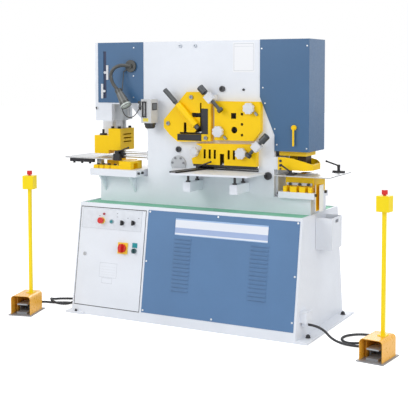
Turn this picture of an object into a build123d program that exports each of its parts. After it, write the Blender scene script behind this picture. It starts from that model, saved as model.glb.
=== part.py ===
from build123d import *
import math
import os

# Hydraulic profile shearing machine with two cylinders, in millimetres.
# X runs along the front to the right, the front faces -Y, and +Z is up.
# The origin is on the floor, under the middle of the base cabinet.

# Base cabinet
base_half_length = 794.0
base_half_depth = 414.0
base_top_half_depth = 300.0
base_height = 722.0
drawn_base_height = 722.0
wall = 6.0
tray_depth = 10.0
tray_rim = 12.0
tray_plate = 8.0
mat_thickness = 4.0
foot_thickness = 15.0
foot_right_width = 78.0
foot_left_width = 34.0
foot_front_reach = 18.0
anchor_hole_radius = 9.0
small_anchor_hole = 6.5
foot_tab = 96.0
anchor_gap = 2.0

# Door and louvred panel, both on the sloping front
door_left = -base_half_length + 15.0
door_right = -282.0
panel_left = -262.0
panel_right = base_half_length - 15.0
front_low = 61.0
front_high = base_height - 20.0
door_thickness = 3.0
door_gap = 5.0
panel_thickness = 2.0
panel_lap = 20.0
lip_width = 22.0
hinge_inset = 9.0
hinge_pin_radius = 3.0
hinge_barrel_radius = 5.0
pin_clearance = 0.05
louvre_count = 14
louvre_pitch = 24.4
louvre_width = 118.0
louvre_height = 11.0
louvre_reach = 7.0
louvre_top = base_height - 176.0
louvre_columns = (-56.0, 472.0)
fascia_left = -57.0
fascia_right = 580.0
fascia_low = base_height - 161.0
fascia_high = base_height - 58.0
fascia_thickness = 1.5

# Hinges, buttons and switches on the door
hinge_heights = (150.0, base_height - 122.0)
hinge_depth = 9.0
hinge_back = 7.5
shank_radius = 8.0
shank_gap = 0.4
bezel_radius = 21.0
estop_place = (-609.0, base_height - 111.0)
start_place = (-534.0, base_height - 113.0)
selector_places = ((-450.0, base_height - 116.0), (-366.0, base_height - 111.0))
pilot_place = (-596.0, base_height - 67.0)
main_switch_place = (-434.0, base_height - 276.0)
key_place = (-346.0, base_height - 286.0)
lock_place = (door_left + 53.0, base_height - 334.0)
control_left = door_left + 15.0
control_right = -308.0
control_low = base_height - 164.0
control_high = base_height - 36.0
control_thickness = 2.0

# Scrap bin, hung on the right end
bin_high = base_height - 22.0
bin_low = bin_high - 195.0
bin_front = -96.0
bin_back = 80.0
bin_reach = 106.0
bin_wall = 3.0
bin_gap = 1.0
bin_hook_z = bin_high - 30.0
bin_hook_y = (bin_front + 40, bin_back - 40)

# Main frame, two thick plates with spacers between.
# All that stands on the base is drawn for drawn_base_height and lifted with the base.
frame_half = 129.0
frame_plate = 30.0
frame_top = 1780.0
frame_left = -785.0
frame_right = 700.0
frame_foot_left = -base_half_length + 48.0
frame_foot_right = base_half_length - 18.0
spacer = 40.0
head_bottom = 1257.0
head_right = -654.0
throat_top = 1370.0
throat_x = -374.0
throat_slope_x = -513.0
throat_corner_x = -405.0
throat_corner_low = 1198.0
notch_throat_x = 534.0
notch_closer = 14.0
notch_throat_top = 1110.0
plate_gap = 0.5
plate_end = 2000.0
slug_half = 22.0
angle_window = (-118.0, 78.0, 1160.0, 1400.0)
section_window = (215.0, 350.0, 1180.0, 1350.0)
flat_window = (70.0, 420.0, 1010.0, 1118.0)
flat_slot = (-10.0, 430.0, 950.0, 1000.0)
head_plate_low = 1400.0
head_plate_high = 1440.0
shear_x = 600.0
shear_head_low = 1480.0
shear_head_high = 1520.0
shear_nose = 44.0
bolt_places = ((-124.0, 1751.0), (-15.0, 1750.0), (-138.0, 1084.0), (495.0, 942.0),
               (178.0, 1477.0), (326.0, 1473.0), (-772.0, 1341.0))
bolt_heads = (11.0, 11.0, 19.0, 24.0, 19.0, 8.0, 9.0)

# Covers
left_cover_left = -760.0
left_cover_right = -404.0
left_cover_low = 1379.0
right_cover_left = 437.0
right_cover_step = 536.0
right_cover_right = 762.0
right_cover_low = 1098.0
cover_sheet = 3.0
slot_left = -717.0
slot_right = -694.0
slot_low = 1408.0
slot_high = 1722.0
lever_x = 667.0
lever_z = 1245.0

# Punching station
punch_x = -662.0
bed_top = 940.0
bed_thickness = 45.0
punch_bed_left = -770.0
punch_bed_right = -406.0
bed_reach = 94.0
die_top = 1000.0
die_radius = 30.0
die_bore = 16.0
punch_radius = 14.0
punch_tip = 1045.0
nut_low = 1165.0
nut_high = 1190.0
ram_radius = 34.0
ram_clearance = 0.4
nose_radius = 50.0
cylinder_radius = 66.0
stripper_low = 1055.0
stripper_high = 1202.0
stripper_half_x = 48.0
stripper_half_y = 87.0
stripper_wall = 8.0
stripper_foot_left = -824.0
stripper_foot_low = 1030.0
stripper_foot_high = 1154.0
support_top = 1005.0
support_left = -1025.0
support_half_y = 152.0
support_thickness = 8.0
rail_radius = 9.0
rail_y = -112.0
rail_z = (1046.0, 1022.0)
screw_x = -772.0
screw_y = -56.0

# Shearing stations
yellow_thickness = 36.0
beam_half = 22.0
beam_gap = 2.0
pivot_x = -139.0
pivot_z = 990.0
pivot_radius = 40.0
square_bar = 36.0
square_x = 273.0
square_z = 1310.0
round_bar = 21.0
round_x = 278.0
round_z = 1222.0
angle_corner_x = 47.0
angle_corner_z = 1188.0
angle_slot = 11.0
flat_slot_low = 998.0
flat_blade_low = 985.0
flat_right = 430.0
hold_y = -frame_half - yellow_thickness - 22.0
slant_sum = 1262.0
slant_rod = 12.0
rod_radius = 30.0
screw_line = -frame_half - yellow_thickness - 30.0

# Tables
table_top = 965.0
table_thickness = 12.0
table_plan = ((-20.0, -448.0), (479.0, -393.0), (482.0, -150.0), (-172.0, -150.0))
bracket_width = 50.0
bracket_height = 60.0
bracket_low = 836.0
bracket_reach = 178.0
bracket_x = (16.0, 340.0)
screw_radius = 8.0
fence_length = 361.0

# Notching station
notch_bed_left = 576.0
notch_bed_right = 812.0
notch_bed_top = 855.0
notch_bed_thickness = 38.0
notch_rear = 70.0
notch_reach = 36.0
notch_block_left = 607.0
notch_block_right = 792.0
notch_table_top = 958.0
notch_table_left = 560.0
notch_table_right = 918.0
notch_table_half_y = 198.0
notch_table_thickness = 6.0
notch_punch_left = 655.0
notch_punch_right = 710.0
notch_punch_low = 985.0
notch_clearance = 3.0
beam_seat = 1120.0
eye_z = 1230.0
eye_radius = 20.0
notch_punch_half_y = 45.0
notch_bar_low = 1069.0
guard_left = 564.0
guard_right = 775.0
guard_bend = 60.0
guard_wall = 8.0
guard_low = 984.0
guard_high = 1062.0
guard_rear = 80.0
guard_rear_left = 556.0
guard_block_right = 600.0

# Foot stations
pedal_width = 160.0
pedal_depth = 228.0
pedal_plate = 6.0
hood_height = 128.0
hood_width = 136.0
hood_depth = 190.0
hood_wall = 3.0
post_size = 20.0
post_x = 22.0
post_y = 20.0
post_box_low = 818.0
post_box_high = 906.0
post_box_size = 74.0
left_station = (-base_half_length - 266.0, -546.0, 14.0)
right_station = (base_half_length + 511.0, -460.0, -6.0)
gland_x = 26.0
gland_z = 30.0
treadle_y = 46.0
treadle_z = 58.0

# Cords
conduit_diameter = 16.0
lamp_cord_diameter = 6.0
cable_y = -310.0
cable_z = 96.0
elbow_mouth_x = base_half_length + 42.0
left_gland_y = -262.0
left_gland_z = 52.0

# Work lamp
lamp_x = -496.0
lamp_z = 1623.0
lamp_flange = 40.0
lamp_neck = 11.5
lamp_length = 118.0
lamp_small = 22.0
lamp_large = 37.0
lamp_line = (0.56, -0.1, -0.82)
cord_exit_line = (0.06, 0.1, -1.0)

slope = math.atan((base_half_depth - base_top_half_depth) / base_height)
tray_floor = base_height - tray_depth
frame_low = drawn_base_height - tray_depth
frame_front = -frame_half
yellow_front = frame_front - yellow_thickness
inner_half = frame_half - frame_plate
front_face = Plane(origin=(0, -base_half_depth, 0), x_dir=(1, 0, 0),
                   z_dir=(0, -math.cos(slope), math.sin(slope)))
nodes = {}


def block(x0, x1, y0, y1, z0, z1):
    """A box between two opposite corners."""
    return Pos((x0 + x1) / 2, (y0 + y1) / 2, (z0 + z1) / 2) * Box(x1 - x0, y1 - y0, z1 - z0)


def rod(start, direction, radius, length):
    """A round bar from a point along a direction."""
    end = Plane(origin=start, z_dir=direction)
    return end * Pos(0, 0, length / 2) * Cylinder(radius, length)


def rod_x(x0, x1, y, z, radius):
    return rod((x0, y, z), (1, 0, 0), radius, x1 - x0)


def rod_y(x, y0, y1, z, radius):
    return rod((x, y0, z), (0, 1, 0), radius, y1 - y0)


def rod_z(x, y, z0, z1, radius):
    return rod((x, y, z0), (0, 0, 1), radius, z1 - z0)


def hexagon(start, direction, across, length):
    """A hexagon head or nut from a point along a direction."""
    end = Plane(origin=start, z_dir=direction)
    return extrude(end * RegularPolygon(across / 2, 6, major_radius=False), length)


def plate_xz(points, y0, y1):
    """A flat plate with an outline in the XZ plane, between two depths."""
    outline = make_face(Polyline(*[(x, y0, z) for x, z in points], close=True))
    return extrude(outline, amount=y1 - y0, dir=(0, 1, 0))


def plate_yz(points, x0, x1):
    outline = make_face(Polyline(*[(x0, y, z) for y, z in points], close=True))
    return extrude(outline, amount=x1 - x0, dir=(1, 0, 0))


def plate_xy(points, z0, z1):
    outline = make_face(Polyline(*[(x, y, z0) for x, y in points], close=True))
    return extrude(outline, amount=z1 - z0, dir=(0, 0, 1))


def up_front(z):
    """The length along the sloping front up to a height."""
    return z / math.cos(slope)


def on_front(x0, x1, z0, z1, n0, n1):
    """A box on the sloping front, from n0 to n1 out of its face."""
    v0 = up_front(z0)
    v1 = up_front(z1)
    middle = Pos((x0 + x1) / 2, (v0 + v1) / 2, (n0 + n1) / 2)
    return front_face * middle * Box(x1 - x0, v1 - v0, n1 - n0)


def front_rod(x, z, n0, n1, radius):
    """A round piece standing out of the sloping front."""
    return front_face * Pos(x, up_front(z), (n0 + n1) / 2) * Cylinder(radius, n1 - n0)


def fused(parts):
    """One solid from pieces that are welded or cast together."""
    result = parts[0]
    for part in parts[1:]:
        result = result + part
    return result


def add(name, *parts):
    """Put pieces in a node, as separate solids."""
    for part in parts:
        nodes.setdefault(name, []).extend(part.solids())


def add_above(name, *parts):
    """Put pieces that stand on the base in a node, lifted with the base's top."""
    lift = Pos(0, 0, base_height - drawn_base_height)
    add(name, *[lift * part for part in parts])


def bars_round(outer, hole, z0, z1):
    """Four bars that leave a rectangular hole between them."""
    left, right, front, rear = outer
    hole_left, hole_right, hole_front, hole_rear = hole
    plans = [(left, hole_left, front, rear), (hole_right, right, front, rear),
             (hole_left, hole_right, front, hole_front), (hole_left, hole_right, hole_rear, rear)]
    return [block(*plan, z0, z1) for plan in plans if plan[0] < plan[1] and plan[2] < plan[3]]


def cut_up(part, x_cuts):
    """A thick plate cut across in blocks that meet, so that its windows stay open."""
    pieces = []
    edges = (-plate_end,) + tuple(x_cuts) + (plate_end,)
    for left, right in zip(edges, edges[1:]):
        strip = part & block(left, right, -plate_end, plate_end, 0, plate_end)
        pieces.extend(strip.solids())
    return pieces


def face_at(z, inset):
    """How far the base's sloping face stands from the middle at a height."""
    return base_half_depth - z * math.tan(slope) - inset / math.cos(slope)


def sloping_wall(side, x0, x1, z0, z1):
    """A strip of the base's front sheet (side -1) or back sheet (side 1)."""
    points = [(side * face_at(z0, 0), z0), (side * face_at(z1, 0), z1),
              (side * face_at(z1, wall), z1), (side * face_at(z0, wall), z0)]
    return plate_yz(points, x0, x1)


def base_layer(x0, x1, z0, z1):
    """A flat layer across the base, as deep as its sloping faces let it be."""
    return plate_yz([(-face_at(z0, 0), z0), (face_at(z0, 0), z0),
                     (face_at(z1, 0), z1), (-face_at(z1, 0), z1)], x0, x1)


def make_base():
    """The welded base, drawn as flat sheets that meet, so that its rooms stay open."""
    left = -base_half_length + wall
    right = base_half_length - wall
    under_tray = tray_floor - tray_plate
    door_low = front_low - door_gap
    door_high = front_high - door_gap
    opening_left = panel_left + panel_lap
    opening_right = panel_right - panel_lap
    opening_low = front_low + panel_lap
    opening_high = front_high - panel_lap
    end = plate_yz([(-base_half_depth, 0), (base_half_depth, 0),
                    (base_top_half_depth, base_height), (-base_top_half_depth, base_height)],
                   right, base_half_length)
    slot = block(right - 1, base_half_length + 1, -9, 9, bin_hook_z - 2, bin_hook_z + 20)
    other_end = Pos(-right - base_half_length, 0, 0) * end
    for y in bin_hook_y:
        end = end - Pos(0, y, 0) * slot
    rim_depth = base_top_half_depth - tray_rim
    rim_left = -base_half_length + tray_rim
    sheets = [end, other_end, base_layer(left, right, 0, wall),
              base_layer(left, right, under_tray, tray_floor),
              sloping_wall(1, left, right, wall, under_tray),
              sloping_wall(-1, left, right, wall, door_low),
              sloping_wall(-1, left, door_left - door_gap, door_low, door_high),
              sloping_wall(-1, door_right + door_gap, opening_left, door_low, door_high),
              sloping_wall(-1, left, right, door_high, under_tray),
              sloping_wall(-1, opening_left, opening_right, door_low, opening_low),
              sloping_wall(-1, opening_left, opening_right, opening_high, door_high),
              sloping_wall(-1, opening_right, right, door_low, door_high),
              block(left, rim_left, -rim_depth, rim_depth, tray_floor, base_height),
              block(-rim_left, right, -rim_depth, rim_depth, tray_floor, base_height)]
    for side in (-1, 1):
        sheets.append(plate_yz([(side * face_at(tray_floor, 0), tray_floor),
                                (side * base_top_half_depth, base_height),
                                (side * rim_depth, base_height),
                                (side * rim_depth, tray_floor)], left, right))
    add("base_cabinet", *sheets)
    make_feet()
    make_door_stops(door_low, door_high)


def make_feet():
    """The foot plates with their anchor holes."""
    reach = base_half_depth + foot_front_reach
    right_foot = block(base_half_length, base_half_length + foot_right_width,
                       -base_half_depth, base_half_depth, 0, foot_thickness)
    left_foot = block(-base_half_length - foot_left_width, -base_half_length,
                      -reach, reach, 0, foot_thickness)
    tabs = []
    for side in (-1, 1):
        points = [(side * reach, 0), (side * reach, foot_thickness),
                  (side * face_at(foot_thickness, 0), foot_thickness), (side * face_at(0, 0), 0)]
        tabs.append(plate_yz(points, -base_half_length, -base_half_length + foot_tab))
    for x, y in anchor_points()[:2]:
        right_foot = right_foot - rod_z(x, y, -1, foot_thickness + 1, anchor_hole_radius)
    for x, y in anchor_points()[2:]:
        hole = rod_z(x, y, -1, foot_thickness + 1, small_anchor_hole)
        tabs = [tab - hole for tab in tabs]
    add("base_cabinet", right_foot, left_foot, *tabs)


def make_door_stops(door_low, door_high):
    """The frame behind the door opening, and the lips that the door closes on."""
    back = -door_thickness - hinge_back
    front = -door_thickness - 1.5
    left = door_left - door_gap
    right = door_right + door_gap
    lip_left = door_left + lip_width
    lip_right = door_right - hinge_inset - 14
    frame = [on_front(-base_half_length + wall, left, door_low - wall, door_high + wall,
                      back, -wall),
             on_front(left, right, door_low - wall, door_low, back, -wall),
             on_front(left, right, door_high, door_high + wall, back, -wall)]
    lips = [on_front(left, lip_left, door_low, door_high, back, front),
            on_front(lip_left, lip_right, door_low, front_low + lip_width, back, front),
            on_front(lip_left, lip_right, door_high - lip_width, door_high, back, front)]
    add("base_cabinet", *frame, *lips)


def anchor_points():
    right_x = base_half_length + foot_right_width / 2
    left_x = -base_half_length + 40
    right_y = base_half_depth - 108
    left_y = base_half_depth + foot_front_reach / 2
    return [(right_x, -right_y), (right_x, right_y), (left_x, -left_y), (left_x, left_y)]


def make_anchor_bolts():
    bolts = []
    for x, y in anchor_points()[:2]:
        bolts.append(rod_z(x, y, foot_thickness, foot_thickness + 3, 16)
                     + hexagon((x, y, foot_thickness + 3), (0, 0, 1), 24, 12)
                     + rod_z(x, y, 1, foot_thickness + 20, anchor_hole_radius - anchor_gap))
    for x, y in anchor_points()[2:]:
        bolts.append(rod_z(x, y, foot_thickness, foot_thickness + 3, 8)
                     + hexagon((x, y, foot_thickness + 3), (0, 0, 1), 12, 8)
                     + rod_z(x, y, 1, foot_thickness + 14, 5))
    add("fasteners", *bolts)


def make_tray_mat():
    inset = tray_rim + 1.0
    outer = (-base_half_length + inset, base_half_length - inset,
             -base_top_half_depth + inset, base_top_half_depth - inset)
    hole = (frame_foot_left - 2, frame_foot_right + 2, -frame_half - 2, frame_half + 2)
    add("tray_mat", *bars_round(outer, hole, tray_floor, tray_floor + mat_thickness))


def make_front_panel():
    sheet = on_front(panel_left, panel_right, front_low, front_high, 0, panel_thickness)
    for left in louvre_columns:
        for row in range(louvre_count):
            top = louvre_top - row * louvre_pitch
            slit = on_front(left + 2, left + louvre_width - 2,
                            top - louvre_height, top - 2.5, -1, panel_thickness + 1)
            sheet = sheet - slit
            hood = louvre_hood(left, top)
            sheet = sheet + hood
    add("front_panel", sheet)
    add("front_panel", on_front(fascia_left, fascia_right, fascia_low, fascia_high,
                                panel_thickness, panel_thickness + fascia_thickness))


def louvre_hood(left, top):
    """One pressed louvre, a sloping lip over its slit."""
    thin = 1.6
    high = up_front(top)
    section = [(panel_thickness - 0.6, high), (panel_thickness + louvre_reach, high - louvre_height),
               (panel_thickness + louvre_reach - thin, high - louvre_height),
               (panel_thickness - 0.6, high - 2.4)]
    points = [front_face.from_local_coords(Vector(left, v, n)) for n, v in section]
    outline = make_face(Polyline(*points, close=True))
    return extrude(outline, amount=louvre_width, dir=(1, 0, 0))


def make_door():
    door = on_front(door_left, door_right, front_low, front_high - 2 * door_gap, -door_thickness, 0)
    axis_x = door_right - hinge_inset
    leaf_back = -hinge_depth - 16.5
    pins = []
    for z in hinge_heights:
        for low, high in ((z - 30, z - 10), (z + 10, z + 30)):
            knuckle = front_barrel(axis_x, low + 0.5, high - 0.5, hinge_barrel_radius)
            web = on_front(axis_x - 16, axis_x, low + 0.5, high - 0.5,
                           -hinge_depth - hinge_barrel_radius, -door_thickness + 0.5)
            web = web - on_front(axis_x - 14, axis_x + 1, low, high,
                                 -hinge_depth - hinge_barrel_radius - 1, -hinge_depth + 1)
            door = door + (knuckle + web)
    for z in hinge_heights:
        door = door - front_barrel(axis_x, z - 32, z + 32, hinge_pin_radius + pin_clearance)
        pin = front_barrel(axis_x, z - 31, z + 31, hinge_pin_radius)
        knuckle = front_barrel(axis_x, z - 9.5, z + 9.5, hinge_barrel_radius)
        neck = on_front(axis_x - 4, axis_x + 2, z - 9.5, z + 9.5, leaf_back, -hinge_depth - 3)
        leaf = on_front(axis_x - 4, axis_x + 24, z - 9.5, z + 9.5, leaf_back, leaf_back + 3)
        root = on_front(axis_x + 15, axis_x + 24, z - 9.5, z + 9.5, leaf_back, -wall)
        pins.append(fused([pin, knuckle, neck, leaf, root]))
    shanks = selector_places + (main_switch_place, estop_place, start_place, key_place, lock_place)
    for x, z in shanks:
        door = door - front_rod(x, z, -door_thickness - 1, 1, shank_radius + shank_gap)
    add("cabinet_door", door)
    add("door_hinges", *pins)


def front_barrel(x, z0, z1, radius):
    """A round bar that runs up inside the sloping front."""
    length = up_front(z1) - up_front(z0)
    middle = Pos(x, (up_front(z0) + up_front(z1)) / 2, -hinge_depth)
    return front_face * middle * Rot(90, 0, 0) * Cylinder(radius, length)


def make_controls():
    plate = on_front(control_left, control_right, control_low, control_high, 0, control_thickness)
    places = (estop_place, start_place) + selector_places
    for x, z in places:
        plate = plate - front_rod(x, z, -1, control_thickness + 1, shank_radius + shank_gap)
    add("control_plate", plate)
    face = control_thickness
    fittings = [front_ring(estop_place, face, face + 9, bezel_radius),
                front_ring(start_place, face, face + 7, 14),
                front_rod(*pilot_place, face, face + 8, 7)]
    for place in selector_places:
        fittings.append(front_ring(place, face, face + 6, 14))
    fittings.append(front_ring(key_place, 0, 8, 16))
    add("control_plate", *fittings)
    x, z = main_switch_place
    switch = on_front(x - 36, x + 36, z - 36, z + 36, 0, 8)
    add("control_plate", switch - front_rod(x, z, -1, 9, shank_radius + shank_gap))
    x, z = key_place
    add("control_plate", on_front(x - 18, x + 18, z + 20, z + 50, 0, 3))
    travel = 5.0
    button = front_rod(*estop_place, face + 9 + travel + 1, face + 9 + travel + 15, 20)
    add("panel_estop", button + front_rod(*estop_place, -20, face + 12 + travel, shank_radius))
    cap = front_rod(*start_place, -16, face + 11, shank_radius)
    add("start_button", cap)
    names = ("selector_left", "selector_right")
    for name, place in zip(names, selector_places):
        knob = front_rod(*place, face + 6.3, face + 12, 12)
        grip = on_front(place[0] - 4, place[0] + 4, place[1] - 16, place[1] + 16,
                        face + 11, face + 26)
        add(name, fused([knob, grip, front_rod(*place, -16, face + 8, shank_radius)]))
    x, z = main_switch_place
    knob = front_rod(x, z, 8.4, 22, 28)
    grip = on_front(x - 8, x + 8, z - 27, z + 27, 21, 42)
    add("main_switch_knob", fused([knob, grip, front_rod(x, z, -18, 10, shank_radius)]))
    x, z = key_place
    key = front_rod(x, z, 8.3, 16, 15)
    bow = on_front(x - 3, x + 3, z - 14, z + 14, 15, 30)
    add("key_switch", fused([key, bow, front_rod(x, z, -16, 10, shank_radius)]))
    x, z = lock_place
    head = front_rod(x, z, 0.3, 4, 12)
    tongue = on_front(x - 7, x + 7, z - 47, z, -18, -15)
    stem = front_rod(x, z, -18, 1, shank_radius)
    slot = on_front(x - 1.5, x + 1.5, z - 6, z + 6, 2, 5)
    add("door_lock", fused([head, stem, tongue]) - slot)


def front_ring(place, n0, n1, radius):
    """A bezel around a button or a switch."""
    ring = front_rod(*place, n0, n1, radius)
    return ring - front_rod(*place, n0 - 1, n1 + 1, shank_radius + shank_gap)


def make_inside():
    tank = block(-150, 250, -170, 170, wall, 330)
    inner = block(-144, 244, -164, 164, wall + 6, 324)
    lid = block(-160, 260, -180, 180, 330, 338)
    cap = rod_z(-90, -110, 338, 372, 26)
    add("cabinet_equipment", fused([tank - inner, lid, cap]))
    foot = block(0, 160, -80, 80, 338, 350)
    motor = rod_x(-20, 190, 0, 430, 84)
    stand = block(20, 140, -60, 60, 350, 400)
    pump = rod_x(190, 270, 0, 430, 50)
    box_top = block(40, 120, -40, 40, 500, 540)
    add("cabinet_equipment", fused([foot, stand, motor, pump, box_top]))
    wiring_top = base_height - 82
    wiring = block(-700, -340, 60, 66, 120, wiring_top)
    parts = [wiring, block(-700, -690, 60, 200, wall, wiring_top),
             block(-350, -340, 60, 200, wall, wiring_top)]
    for row, z in enumerate((200, 330, 460)):
        for step in range(4):
            x = -670 + step * 74
            parts.append(block(x, x + 56, 4, 60.5, z, z + 80))
    add("cabinet_equipment", fused(parts))


def frame_outline():
    return [(frame_left, frame_top), (frame_left, head_bottom), (head_right, head_bottom),
            (head_right, throat_top), (throat_slope_x, throat_top),
            (throat_corner_x, head_bottom), (throat_x, throat_corner_low),
            (throat_x, bed_top - bed_thickness), (frame_foot_left, bed_top - bed_thickness),
            (frame_foot_left, frame_low), (frame_foot_right, frame_low),
            (frame_foot_right, notch_bed_top - notch_bed_thickness),
            (notch_throat_x, notch_bed_top - notch_bed_thickness),
            (notch_throat_x, notch_throat_top), (frame_right, notch_throat_top),
            (frame_right, frame_top)]


def frame_side(y0):
    """One of the frame's two plates, with its windows and the bore for the beam's pivot."""
    y1 = y0 + frame_plate
    plate = plate_xz(frame_outline(), y0, y1)
    for x0, x1, z0, z1 in (angle_window, section_window, flat_window, flat_slot):
        plate = plate - block(x0, x1, y0 - 1, y1 + 1, z0, z1)
    return plate - rod_y(pivot_x, y0 - 1, y1 + 1, pivot_z, pivot_radius + pin_clearance)


def make_frame():
    bed_low = bed_top - bed_thickness
    bore_side = pivot_radius + 6
    cuts = (head_right, throat_slope_x, throat_corner_x, throat_x, pivot_x - bore_side,
            angle_window[0], pivot_x + bore_side, flat_slot[0], flat_window[0], angle_window[1],
            section_window[0], section_window[1], flat_window[1], flat_slot[1],
            notch_throat_x, frame_right)
    add_above("frame_front_plate", *cut_up(frame_side(frame_front), cuts))
    add_above("frame_rear_plate", *cut_up(frame_side(inner_half), cuts))
    for x in (punch_bed_left + 60, punch_bed_right - 70):
        add_above("frame_front_plate",
                  plate_yz([(frame_front, bed_low), (frame_front - bed_reach + 14, bed_low),
                            (frame_front, bed_low - 110)], x, x + 12))
    add_above("frame_front_plate", block(251, 400, frame_front - 2, frame_front, 1582, 1768))


def make_spacers():
    """The bars between the two plates, each a piece of its own."""
    bed_low = bed_top - bed_thickness
    notch_low = notch_bed_top - notch_bed_thickness
    low = -inner_half
    high = inner_half
    foot_top = frame_low + spacer
    thin = spacer / 2
    bars = [block(frame_foot_left, frame_foot_right, low, high, frame_low, foot_top),
            block(frame_foot_left, frame_foot_left + thin, low, high, foot_top, bed_low - spacer),
            block(frame_foot_right - thin, frame_foot_right, low, high, foot_top, notch_low - spacer),
            block(throat_x, throat_x + spacer, low, high, bed_low, throat_corner_low),
            block(frame_left, frame_right, low, high, frame_top - thin, frame_top),
            block(frame_left, frame_left + thin, low, high, throat_top, frame_top - thin)]
    bars += bars_round((frame_foot_left, throat_x + spacer, low, high),
                       (punch_x - slug_half, punch_x + slug_half, -slug_half, slug_half),
                       bed_low - spacer, bed_low)
    bars += bars_round((notch_throat_x, frame_foot_right, low, high), notch_hole(63),
                       notch_low - spacer, notch_low)
    bars += bars_round((punch_x - 84, punch_x + 84, low, high),
                       (punch_x - nose_radius, punch_x + nose_radius, -nose_radius, nose_radius),
                       head_plate_low, head_plate_high)
    bars += bars_round((shear_x - 80, shear_x + 80, low, high),
                       (shear_x - shear_nose, shear_x + shear_nose, -shear_nose, shear_nose),
                       shear_head_low, shear_head_high)
    bars.append(block(stripper_foot_left - 6, stripper_foot_left + 72, stripper_half_y - 59.5,
                      inner_half, stripper_foot_low - 4, throat_top))
    bars.append(block(notch_throat_x, guard_block_right, frame_front, -inner_half,
                      guard_low, guard_high))
    bars.append(block(notch_throat_x, notch_throat_x + notch_closer, low, high,
                      notch_low, guard_high - 2))
    add_above("frame_spacers", *bars)


def notch_hole(half_y):
    """The opening that the notching punch and its scrap pass through."""
    return (notch_punch_left - notch_clearance, notch_punch_right + notch_clearance, -half_y, half_y)


def make_frame_fittings():
    bolts = []
    for place, radius in zip(bolt_places, bolt_heads):
        x, z = place
        head = rod_y(x, frame_front - radius * 0.55, frame_front, z, radius)
        socket = hexagon((x, frame_front - radius * 0.55 - 1, z), (0, 1, 0), radius, radius * 0.35 + 1)
        bolts.append(head - socket)
    add_above("fasteners", *bolts)
    cap = rod_y(pivot_x, frame_front - 10, frame_front, pivot_z, 54)
    for angle in (10, 62, 118, 170, 230, 310):
        x = pivot_x + 42 * math.cos(math.radians(angle))
        z = pivot_z + 42 * math.sin(math.radians(angle))
        cap = cap + rod_y(x, frame_front - 16, frame_front - 9, z, 7)
    pin = rod_y(pivot_x, frame_front - 1, frame_half, pivot_z, pivot_radius)
    add_above("beam_pivot", cap + pin)


def make_covers():
    front = frame_front - cover_sheet
    rear = frame_half + cover_sheet
    left_skin = block(left_cover_left, left_cover_right, front, frame_front, left_cover_low, frame_top)
    slot = block(slot_left, slot_right, front - 1, frame_front + 1, slot_low, slot_high)
    back_skin = block(left_cover_left, left_cover_right, frame_half, rear, left_cover_low, frame_top)
    outline = [(right_cover_left, frame_top), (right_cover_left, 1430.0),
               (right_cover_step, 1197.0), (right_cover_step, right_cover_low),
               (right_cover_right, right_cover_low), (right_cover_right, frame_top)]
    skin = plate_xz(outline, front, frame_front)
    skin = skin - rod_y(lever_x, front - 1, frame_front + 1, lever_z, 6.3)
    rear_skin = plate_xz(outline, frame_half, rear)
    side = block(right_cover_right - cover_sheet, right_cover_right, frame_front, frame_half,
                 right_cover_low, frame_top)
    top = block(right_cover_left, right_cover_right, front, rear, frame_top, frame_top + cover_sheet)
    add_above("frame_covers", left_skin - slot, back_skin, skin, rear_skin, side, top)
    screws = []
    for x, z in ((-475, 1744), (-478, 1558), (-478, 1416), (450, 1727),
                 (458, 1487), (473, 1391), (539, 1234), (553, 1138), (748, 1740), (748, 1120)):
        screws.append(rod_y(x, front - 3, front, z, 4.5))
    add_above("fasteners", *screws)
    low = front_low + 14
    middle = (front_low + front_high) / 2
    high = front_high - 10
    panel_screws = []
    for x, z in ((panel_left + 14, high), (240, high), (panel_right - 11, high),
                 (panel_right - 11, middle), (panel_right - 11, low + 42), (panel_left + 12, middle),
                 (panel_left + 12, low), (240, low)):
        panel_screws.append(front_rod(x, z, panel_thickness, panel_thickness + 3, 6))
    add("fasteners", *panel_screws)


def make_cover_lever():
    front = frame_front - cover_sheet
    boss = rod_y(lever_x, front - 14, front - 0.3, lever_z, 16)
    arm = block(lever_x - 5, lever_x + 5, front - 20, front - 12, lever_z - 112, lever_z - 10)
    stem = rod_y(lever_x, front - 2, frame_front, lever_z, 6)
    knob = rod_y(lever_x, front - 18, front - 14, lever_z, 10)
    add_above("cover_lever", fused([boss, arm, stem, knob]))


def make_stroke_stops():
    """Two stroke stops, which are clamped beside the slot in the left cover."""
    front = frame_front - cover_sheet
    for name, x, z, side in (("stroke_stop_upper", slot_right + 10, 1581, 1),
                             ("stroke_stop_lower", slot_left - 9, 1456, -1)):
        plate = block(x - 8, x + 8, front - 5, front - 0.4, z - 49, z + 49)
        shank_x = (slot_left + slot_right) / 2
        tongue = block(min(x, shank_x) - 4, max(x, shank_x) + 4, front - 5, front - 0.4, z - 8, z + 8)
        shank = rod_y(shank_x, front - 7, frame_front, z, 6)
        add_above(name, fused([plate, tongue, shank]))


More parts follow.
